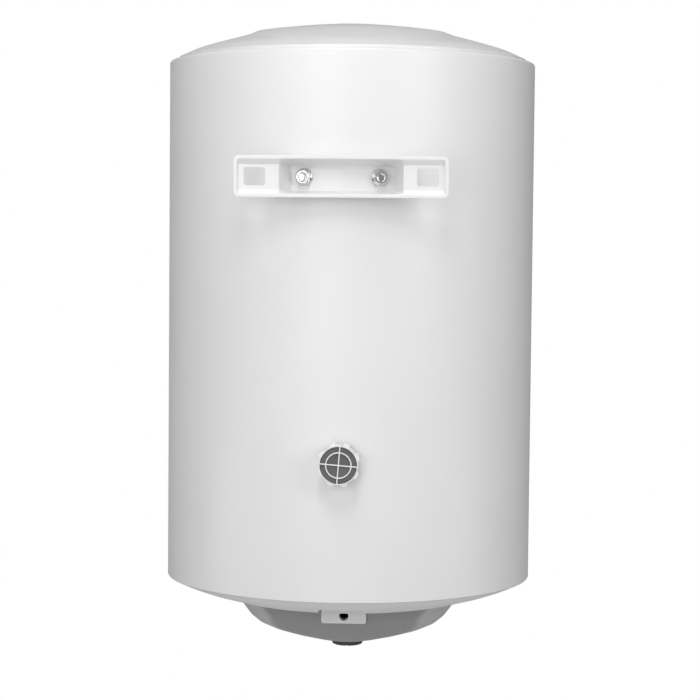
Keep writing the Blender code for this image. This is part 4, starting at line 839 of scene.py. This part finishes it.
def bottom_section(x):
    share = pocket_share(x)
    radii = (0.6 + 1.0 * share, 0.4)
    return wall_section(4.3 - 0.6 * share, 0.75 + 0.75 * share, 5.0 - 0.6 * share, 6.5,
                        pocket_depth(x), radii)

def seat_drop(x, z):
    """Depth of the shallow flat under each bolt, narrower towards its lower end."""
    side = abs(x)
    low = -BRACKET_HALF + RIM + 4.6 * MM
    taper = SEAT_TAPER * max(0.0, min(1.0, -z / (BRACKET_HALF - RIM)))
    inside = smooth_step(SEAT_INNER + taper - 0.4 * MM, SEAT_INNER + taper + 0.4 * MM, side)
    outside = 1.0 - smooth_step(SEAT_OUTER - taper - 0.5 * MM, SEAT_OUTER - taper + 0.5 * MM, side)
    ends = smooth_step(low - 0.4 * MM, low + 0.6 * MM, z)
    return SEAT_DROP * inside * outside * ends


def bracket_stations():
    """Places along the bracket between its corner zones, closer together where the tray changes depth."""
    end = BRACKET_W / 2 - 7 * MM
    stations = [-end]
    while stations[-1] < end - 0.01 * MM:
        x = stations[-1]
        step = 0.5 * MM if abs(abs(x) - 53 * MM) < 20 * MM else 2.0 * MM
        stations.append(min(end, x + step))
    return stations


def end_loops(top, bottom, side):
    """Rows of points round one end of the tray, one row for each level of its sections."""
    loops = []
    for upper_point, lower_point in zip(top, bottom):
        loop = []
        for end, (across, depth) in ((1, upper_point), (-1, lower_point)):
            aside = across if across <= RIM else RIM + (across - RIM) * 0.22
            radius = max(BRACKET_CORNER - 0.8 * across, 0.6 * MM)
            centre_x = BRACKET_W / 2 - aside - radius
            centre_z = end * (BRACKET_HALF - across - radius)
            for s in range(CORNER_STEPS + 1):
                turn = math.pi / 2 * (s / CORNER_STEPS if end > 0 else 1 - s / CORNER_STEPS)
                loop.append(Vector((side * (centre_x + radius * math.sin(turn)), -depth,
                                    centre_z + end * radius * math.cos(turn))))
        loops.append(loop)
    return loops


def bracket_sheet():
    """The pressed tray as one skin, with its rim's front at y = 0: upright columns and two round ends."""
    points = []
    columns = []
    faces = []
    for x in bracket_stations():
        top = top_section(x)
        bottom = bottom_section(x)
        column = [Vector((x, -depth, BRACKET_HALF - across)) for across, depth in top]
        z_top = BRACKET_HALF - top[-1][0]
        z_bottom = -BRACKET_HALF + bottom[-1][0]
        for k in range(1, FLOOR_STEPS):
            z = z_top + (z_bottom - z_top) * k / FLOOR_STEPS
            column.append(Vector((x, -top[-1][1] - seat_drop(x, z), z)))
        column += [Vector((x, -depth, -BRACKET_HALF + across)) for across, depth in reversed(bottom)]
        columns.append(list(range(len(points), len(points) + len(column))))
        points += column
    for left, right in zip(columns, columns[1:]):
        faces += strip_faces(left, right)
    count = len(top)
    for side, column in ((-1, columns[0]), (1, columns[-1])):
        upper = column[:count]
        lower = list(reversed(column[-count:]))
        rows = []
        for k, loop in enumerate(end_loops(top, bottom, side)):
            rows.append([upper[k], *range(len(points), len(points) + len(loop)), lower[k]])
            points += loop
        for first, second in zip(rows, rows[1:]):
            faces += strip_faces(first, second)
        faces.append([*rows[-1], *reversed(column[count:-count])])
    return from_faces("bracket_sheet", points, faces)


def make_bracket():
    sheet = bracket_sheet()
    if max(sheet.data.polygons, key=lambda face: face.area).normal.y < 0.0:
        sheet.data.flip_normals()
    solid = sheet.modifiers.new("sheet", "SOLIDIFY")
    solid.thickness = BRACKET_SKIN
    solid.offset = -1.0
    solid.use_even_offset = False
    applied(sheet)
    for _, side in SIDES:
        window = prism("window", round_box(*WINDOW, WINDOW_CORNER), 40 * MM)
        combine(sheet, turned_to(window, (0, 1, 0), (side * WINDOW_X, 0, 0)))
        combine(sheet, bolt_hole(side, (0, -WALL_Y, 0)))
        nub = block("nub", (-3.6 * MM, -3 * MM, -1.0 * MM), (3.6 * MM, 3 * MM, 1.0 * MM), 0.5 * MM)
        nub_place = (side * NUB_X, -pocket_depth(NUB_X) + 6.2 * MM, BRACKET_HALF - 8.6 * MM)
        combine(sheet, shifted(nub, nub_place), "UNION")
    return place_piece(shifted(sheet, (0, WALL_Y, BRACKET_Z)), "hanging_bracket")


# ---- Bolts ----

BOLT_R = 4 * MM
BOLT_TIP_R = 3.4 * MM
BOLT_TIP = -17 * MM
BOLT_END = -18.2 * MM
BOLT_ACROSS = 14 * MM
FLANGE_R = 10 * MM
FLANGE = 1.5 * MM
WASHER_R = 7.6 * MM
BOLT_TOP = FLANGE + 6.5 * MM
BOLT_SEAT = FLOOR_R + 0.7 * MM + GAP


def hex_outline(across):
    radius = across / 2 / math.cos(math.pi / 6)
    points = [(radius * math.cos(math.pi / 3 * i), radius * math.sin(math.pi / 3 * i)) for i in range(6)]
    return rounded(points, 0.3 * MM, 3)


def make_bolt(node, side):
    """A flanged hex bolt with a dished head, from its seat at z = 0."""
    flange = [(0, FLANGE + 0.6 * MM), (WASHER_R, FLANGE + 0.6 * MM), (FLANGE_R - 0.4 * MM, FLANGE * 0.6),
              (FLANGE_R, 0.0)]
    shank = [(BOLT_R, 0.0), (BOLT_R, BOLT_TIP), (BOLT_TIP_R, BOLT_END), (0, BOLT_END)]
    radii = [0, 1.2 * MM, 0.4 * MM, 0.3 * MM, 0, 0, 0, 0]
    piece = lathe(node + "_fine", rounded([*flange, *shank], radii, 5), FINE)
    head = prism("hex", hex_outline(BOLT_ACROSS), BOLT_TOP)
    shifted(head, (0, 0, BOLT_TOP / 2))
    chamfer = [(0, BOLT_TOP), (6.7 * MM, BOLT_TOP), (8.3 * MM, BOLT_TOP - 1.0 * MM), (8.3 * MM, -1 * MM),
               (0, -1 * MM)]
    combine(head, lathe("chamfer", chamfer, FINE), "INTERSECT")
    combine(piece, head, "UNION")
    dish = [(0, BOLT_TOP + 10 * MM), (5.8 * MM, BOLT_TOP + 10 * MM), (5.8 * MM, BOLT_TOP + 0.01 * MM),
            (4.6 * MM, BOLT_TOP - 1.5 * MM), (0, BOLT_TOP - 2.0 * MM)]
    combine(piece, lathe("dish", rounded(dish, [0, 0, 0.6 * MM, 1.4 * MM, 0], 6), FINE))
    soften(piece, 0.18 * MM, 2)
    direction = bolt_direction(side)
    turned_to(piece, direction, direction * BOLT_SEAT + Vector((0, 0, BRACKET_Z)))
    return place_piece(piece, node)


# ---- Screw-out spacer, drawn with its wall end at z = 0 ----

SPACER_R = 22.4 * MM
SPACER_LENGTH = 20 * MM
SPACER_TURN = math.radians(-4.5)
SPACER_BORE_R = 15.4 * MM
CUP_R = SPACER_R - 1.2 * MM
CUP_FLOOR = -4.8 * MM
LOBE_ROOT_R = SPACER_R - 0.8 * MM
LOBE_TOP_R = 25.1 * MM
LOBE_ROOT_HALF = 4.6 * MM
LOBE_TOP_HALF = 3.2 * MM
LOBE_ANGLES = (27.2, 70.0, 111.0, 153.8, 207.2, 250.0, 291.0, 333.8)
RIB = 1.3 * MM
RIB_FRONT = -0.25 * MM
RIB_BACK = -1.75 * MM
RIB_RING = (13.75 * MM, 15.05 * MM)
PAD_R = SPACER_R - 1.8 * MM
PAD_FRONT = -2.1 * MM
PAD_BACK = -4.3 * MM
PAD_STEM = 3 * MM


def spacer_frame(piece):
    """Lays a spacer piece along +Y, turned as it rests."""
    turn = Vector((0, 1, 0)).to_track_quat("Z", "Y").to_matrix() @ Matrix.Rotation(SPACER_TURN, 3, "Z")
    piece.data.transform(Matrix.Translation((0, WALL_Y, SPACER_Z)) @ turn.to_4x4())
    return piece


def make_lobe(degrees):
    """One of the finger grips round the sleeve."""
    section = [(LOBE_ROOT_R, -LOBE_ROOT_HALF), (LOBE_TOP_R, -LOBE_TOP_HALF), (LOBE_TOP_R, LOBE_TOP_HALF),
               (LOBE_ROOT_R, LOBE_ROOT_HALF)]
    lobe = prism("lobe", rounded(section, [0, 2.6 * MM, 2.6 * MM, 0], 7), SPACER_LENGTH - 1.6 * MM)
    soften(lobe, 0.6 * MM, 3)
    turn = Matrix.Rotation(math.radians(degrees), 4, "Z")
    lobe.data.transform(turn @ Matrix.Translation((0, 0, -SPACER_LENGTH / 2)))
    return lobe


def make_spacer():
    sleeve = [(CUP_R, 0.0), (SPACER_R, 0.0), (SPACER_R, -SPACER_LENGTH), (SPACER_BORE_R, -SPACER_LENGTH),
              (SPACER_BORE_R, CUP_FLOOR), (CUP_R, CUP_FLOOR)]
    radii = [0.2 * MM, 0.5 * MM, 0.8 * MM, 0.4 * MM, 0.3 * MM, 0.3 * MM]
    piece = lathe("spacer_sleeve_shell", rounded(sleeve, radii, 4), 160)
    for degrees in LOBE_ANGLES:
        combine(piece, make_lobe(degrees), "UNION")
    inner, outer = RIB_RING
    circle = [(inner, RIB_FRONT), (outer, RIB_FRONT), (outer, RIB_BACK), (inner, RIB_BACK)]
    combine(piece, lathe("grid", rounded(circle, 0.2 * MM, 3), 128), "UNION")
    reach = SPACER_R - 0.6 * MM
    for k, (x, y) in enumerate(((reach, RIB / 2), (RIB / 2, reach))):
        # The two bars of the cross differ a little in height, so that no faces fall together
        step = 0.05 * MM * (k + 1)
        bar_low = (-x, -y, RIB_BACK + step)
        combine(piece, block("bar", bar_low, (x, y, -0.2 * MM - step), 0.18 * MM), "UNION")
    return place_piece(spacer_frame(piece), "wall_spacer")


def make_pad():
    raised = PAD_FRONT - 0.25 * MM
    outline = [(0, raised), (12.2 * MM, raised), (12.8 * MM, PAD_FRONT), (PAD_R, PAD_FRONT),
               (PAD_R, PAD_BACK), (0, PAD_BACK)]
    piece = lathe("spacer_pad_disc", rounded(outline, [0, 0, 0, 0.5 * MM, 0.3 * MM, 0], 4), 128)
    stem_top = PAD_BACK + 0.8 * MM
    stem = block("stem", (-PAD_STEM, -PAD_STEM, -SPACER_LENGTH), (PAD_STEM, PAD_STEM, stem_top), 0.4 * MM)
    combine(piece, stem, "UNION")
    return place_piece(spacer_frame(piece), "spacer_pad")


# ---- Water pipes and their collars ----

PIPE_WALL = 3 * MM
THREAD_PITCH = 1.814 * MM
THREAD_DEPTH = 0.9 * MM
THREAD_ROWS = 8
COLLAR_BORE_R = 11 * MM


def thread(name, radius, bore, low, high):
    """A threaded tube: the outer wall's radius follows a helix, which fades out at both ends."""
    steps = 72
    rows = int((high - low) / THREAD_PITCH * THREAD_ROWS) + 1
    points = []
    for k in range(rows + 1):
        z = low + (high - low) * k / rows
        fade = smooth_step(low, low + THREAD_PITCH, z) * (1 - smooth_step(high - 1.5 * THREAD_PITCH, high, z))
        for i in range(steps):
            wave = (z / THREAD_PITCH - i / steps) % 1.0
            cut = THREAD_DEPTH * (1 - abs(2 * wave - 1)) * fade + 0.5 * THREAD_DEPTH * (1 - fade)
            points.append(ring_point(radius - cut, 2 * math.pi * i / steps, z))
    for z in (high, low):
        points += [ring_point(bore, 2 * math.pi * i / steps, z) for i in range(steps)]
    loops = [range(k * steps, (k + 1) * steps) for k in (*range(rows + 3), 0)]
    faces = []
    for first, second in zip(loops, loops[1:]):
        faces += ring_faces(first, second)
    return from_faces(name, points, faces, math.radians(75))


def upright(node):
    """The radius, foot, top and centre line of an upright round node."""
    low, high = local_box(node)
    return (high.x - low.x) / 2, low.z, high.z, ((low.x + high.x) / 2, (low.y + high.y) / 2, 0.0)


def make_pipe(node):
    radius, foot, top, centre = upright(node)
    piece = thread(node + "_pipe", radius, radius - PIPE_WALL, foot, top)
    return place_piece(shifted(piece, centre), node)


def make_collar(node):
    radius, foot, top, centre = upright(node)
    outline = [(COLLAR_BORE_R, top), (radius, top), (radius, top - 2.2 * MM), (radius - 2.5 * MM, foot),
               (COLLAR_BORE_R, foot)]
    radii = [0.2 * MM, 0.5 * MM, 0.8 * MM, 1.0 * MM, 0.3 * MM]
    piece = lathe(node + "_ring", rounded(outline, radii, 4), FINE)
    return place_piece(shifted(piece, centre), node)


# ---- Knob, lens and cover screws ----

FLUTES = 30
FLUTE_DEPTH = 0.55 * MM
SPINDLE_HOLE_R = 3.1 * MM
SPINDLE_HOLE_END = -88.8 * MM
LENS_R = 3.4 * MM
LENS_FLANGE_R = 5 * MM
LENS_STEM = -3.5 * MM
SCREW_HEAD = 2.5 * MM
SCREW_R = 2.0 * MM


def make_knob():
    low, high = local_box("thermostat_knob")
    rim = high.x - 0.05 * MM

    def flute(radius, turn):
        """How far the hollows between the ribs sink, on the knob's side only."""
        side = smooth_step(rim - 4 * MM, rim - 1 * MM, radius)
        return FLUTE_DEPTH * side * abs(math.sin(FLUTES * turn / 2)) ** 2

    outline = [(0.0, high.z), (rim - 0.4 * MM, high.z), (rim, high.z - 0.6 * MM),
               (rim - 0.5 * MM, low.z + 1.2 * MM), (rim - 3.0 * MM, low.z + 0.1 * MM),
               (rim - 5.0 * MM, low.z + 0.5 * MM), (0.0, low.z + 0.7 * MM)]
    radii = [0, 0.3 * MM, 0.3 * MM, 0.8 * MM, 1.0 * MM, 1.0 * MM, 0]
    levels = rounded(outline, radii, 5, closed=False)
    piece = lathe("knob_grip", levels, FLUTES * 8, math.radians(40), flute)
    combine(piece, bar(SPINDLE_HOLE_R, 0, SPINDLE_HOLE_END))
    groove_low = (-1.0 * MM, 5 * MM, low.z - 2 * MM)
    combine(piece, block("groove", groove_low, (1.0 * MM, rim + 2 * MM, low.z + 1.1 * MM), 0.2 * MM))
    return place_piece(piece, "thermostat_knob")


def make_lens():
    low, high = local_box("indicator_lens")
    outline = [(0, 2.0 * MM), (LENS_R, 1.5 * MM), (LENS_FLANGE_R, GAP), (LENS_R, GAP), (LENS_R, LENS_STEM),
               (0, LENS_STEM)]
    piece = lathe("lens_dome", rounded(outline, [0, 3 * MM, 0.2 * MM, 0, 0, 0], 5, closed=False), FINE)
    turned_to(piece, (0, -1, 0), (0, -FACET_Y, (low.z + high.z) / 2))
    return place_piece(piece, "indicator_lens")


def make_cover_screw(node):
    radius, foot, top, centre = upright(node)
    seat = foot + SCREW_HEAD
    outline = [(0, top), (1.6 * MM, top), (SCREW_R, top - 0.8 * MM), (SCREW_R, seat), (radius, seat),
               (radius, foot + 0.9 * MM), (0.55 * radius, foot), (0, foot)]
    radii = [0, 0, 0, 0, 0.2 * MM, 0.8 * MM, 0.8 * MM, 0]
    piece = lathe(node + "_fine", rounded(outline, radii, 4, closed=False), SMALL)
    for x, y in ((2.4 * MM, 0.4 * MM), (0.4 * MM, 2.4 * MM)):
        combine(piece, block("slot", (-x, -y, foot - 1 * MM), (x, y, foot + 1.3 * MM + y * 0.1)))
    return place_piece(shifted(piece, centre), node)


make_jacket()
make_cap()
make_pan()
make_cover()
make_entry()
make_bracket()
for side_name, side_sign in SIDES:
    make_bolt("hanging_bolt_" + side_name, side_sign)
    make_cover_screw("cover_screw_" + side_name)
make_spacer()
make_pad()
for pipe_node in ("cold_inlet", "hot_outlet"):
    make_pipe(pipe_node)
for collar_node in ("cold_collar", "hot_collar"):
    make_collar(collar_node)
make_knob()
make_lens()

# ---- Floor, light and camera ----

WORLD_LIGHT = 0.20
FLOOR_REACH = 4.0
FLOOR_DROP = 1.45
CAMERA_DISTANCE = 2.497
CAMERA_TURN = math.radians(2.75)
CAMERA_RISE = 0.4119
CAMERA_PITCH = math.radians(3.07)
CAMERA_ROLL = math.radians(0.533)
CAMERA_LENS = 103.06


def camera_only(tree, lit, seen, output):
    """Shows one shader to the camera, while the other one lights the scene."""
    ray = tree.nodes.new("ShaderNodeLightPath")
    mix = tree.nodes.new("ShaderNodeMixShader")
    tree.links.new(ray.outputs["Is Camera Ray"], mix.inputs["Fac"])
    tree.links.new(lit, mix.inputs[1])
    tree.links.new(seen, mix.inputs[2])
    tree.links.new(mix.outputs["Shader"], tree.nodes[output].inputs["Surface"])


def make_floor():
    """A pale floor, far enough below for views from underneath."""
    mesh = bpy.data.meshes.new("floor")
    corners = [(x * FLOOR_REACH, y * FLOOR_REACH, 0) for x, y in ((-1, -1), (1, -1), (1, 1), (-1, 1))]
    mesh.from_pydata(corners, [], [(0, 1, 2, 3)])
    floor = bpy.data.objects.new("floor", mesh)
    bpy.context.scene.collection.objects.link(floor)
    floor.location = (0.0, 0.0, cad_low.z - FLOOR_DROP)
    made, tree, shader = new_material("pale_floor")
    shader.inputs["Base Color"].default_value = (0.85, 0.85, 0.85, 1.0)
    shader.inputs["Roughness"].default_value = 0.9
    glow = tree.nodes.new("ShaderNodeEmission")
    glow.inputs["Strength"].default_value = 1.0
    camera_only(tree, shader.outputs["BSDF"], glow.outputs["Emission"], "Material Output")
    mesh.materials.append(made)


def make_world():
    world = bpy.data.worlds.new("studio")
    bpy.context.scene.world = world
    world.use_nodes = True
    tree = world.node_tree
    back = tree.nodes["Background"]
    back.inputs["Color"].default_value = (1.0, 1.0, 1.0, 1.0)
    back.inputs["Strength"].default_value = WORLD_LIGHT
    seen = tree.nodes.new("ShaderNodeBackground")
    seen.inputs["Color"].default_value = (1.0, 1.0, 1.0, 1.0)
    camera_only(tree, back.outputs["Background"], seen.outputs["Background"], "World Output")


def area_light(name, place, target, size, power):
    light = bpy.data.lights.new(name, "AREA")
    light.shape = "RECTANGLE"
    light.size = size[0]
    light.size_y = size[1]
    light.energy = power
    made = bpy.data.objects.new(name, light)
    bpy.context.scene.collection.objects.link(made)
    made.location = place
    made.rotation_euler = (Vector(target) - Vector(place)).to_track_quat("-Z", "Y").to_euler()
    made.visible_camera = False
    return made


make_floor()
make_world()
middle = Vector((0.0, AXIS.y, AXIS.z + JACKET_H / 2))
seam = Vector((0.0, AXIS.y, AXIS.z))
area_light("key", (0.0, 0.85, 0.85), (0.0, -0.1, -0.15), (0.35, 0.5), 4.2)
area_light("high_front", (0.0, 1.4, 1.9), middle, (0.5, 0.7), 2.5)
area_light("front_left", (0.8, 2.75, 0.2), middle, (1.3, 1.6), 21.5)
area_light("low_front", (0.0, 2.6, -1.0), middle, (1.8, 1.0), 5.5)
area_light("left", (2.0, 1.8, 0.6), middle, (1.2, 1.6), 6.0)
area_light("right", (-2.0, 1.8, 0.6), middle, (1.2, 1.6), 19.5)
area_light("overhead", (0.3, 0.6, 2.3), middle, (1.4, 1.0), 17.0)
area_light("low_left", (1.7, 0.3, -0.72), seam, (0.9, 0.35), 2.6)
area_light("low_right", (-1.7, 0.3, -0.72), seam, (0.9, 0.35), 2.2)
far_side = area_light("far_side", (0.8, -2.8, 0.3), middle, (2.0, 1.2), 44.0)
far_side.visible_glossy = False


def make_camera():
    camera = bpy.data.cameras.new("camera")
    camera.lens = CAMERA_LENS
    camera.sensor_width = 36.0
    camera.clip_end = 50.0
    made = bpy.data.objects.new("camera", camera)
    bpy.context.scene.collection.objects.link(made)
    heading = Vector((math.sin(CAMERA_TURN), -math.cos(CAMERA_TURN), 0.0))
    sight = heading * math.cos(CAMERA_PITCH) - Vector((0.0, 0.0, math.sin(CAMERA_PITCH)))
    level_right = sight.cross(Vector((0.0, 0.0, 1.0))).normalized()
    level_up = level_right.cross(sight)
    right = level_right * math.cos(CAMERA_ROLL) + level_up * math.sin(CAMERA_ROLL)
    up = level_up * math.cos(CAMERA_ROLL) - level_right * math.sin(CAMERA_ROLL)
    place = AXIS - heading * CAMERA_DISTANCE + Vector((0.0, 0.0, CAMERA_RISE))
    turn = Matrix((right, up, -sight)).transposed().to_4x4()
    made.matrix_world = Matrix.Translation(place) @ turn
    bpy.context.scene.camera = made


make_camera()
bpy.context.scene.view_settings.view_transform = "Standard"

bpy.context.view_layer.update()
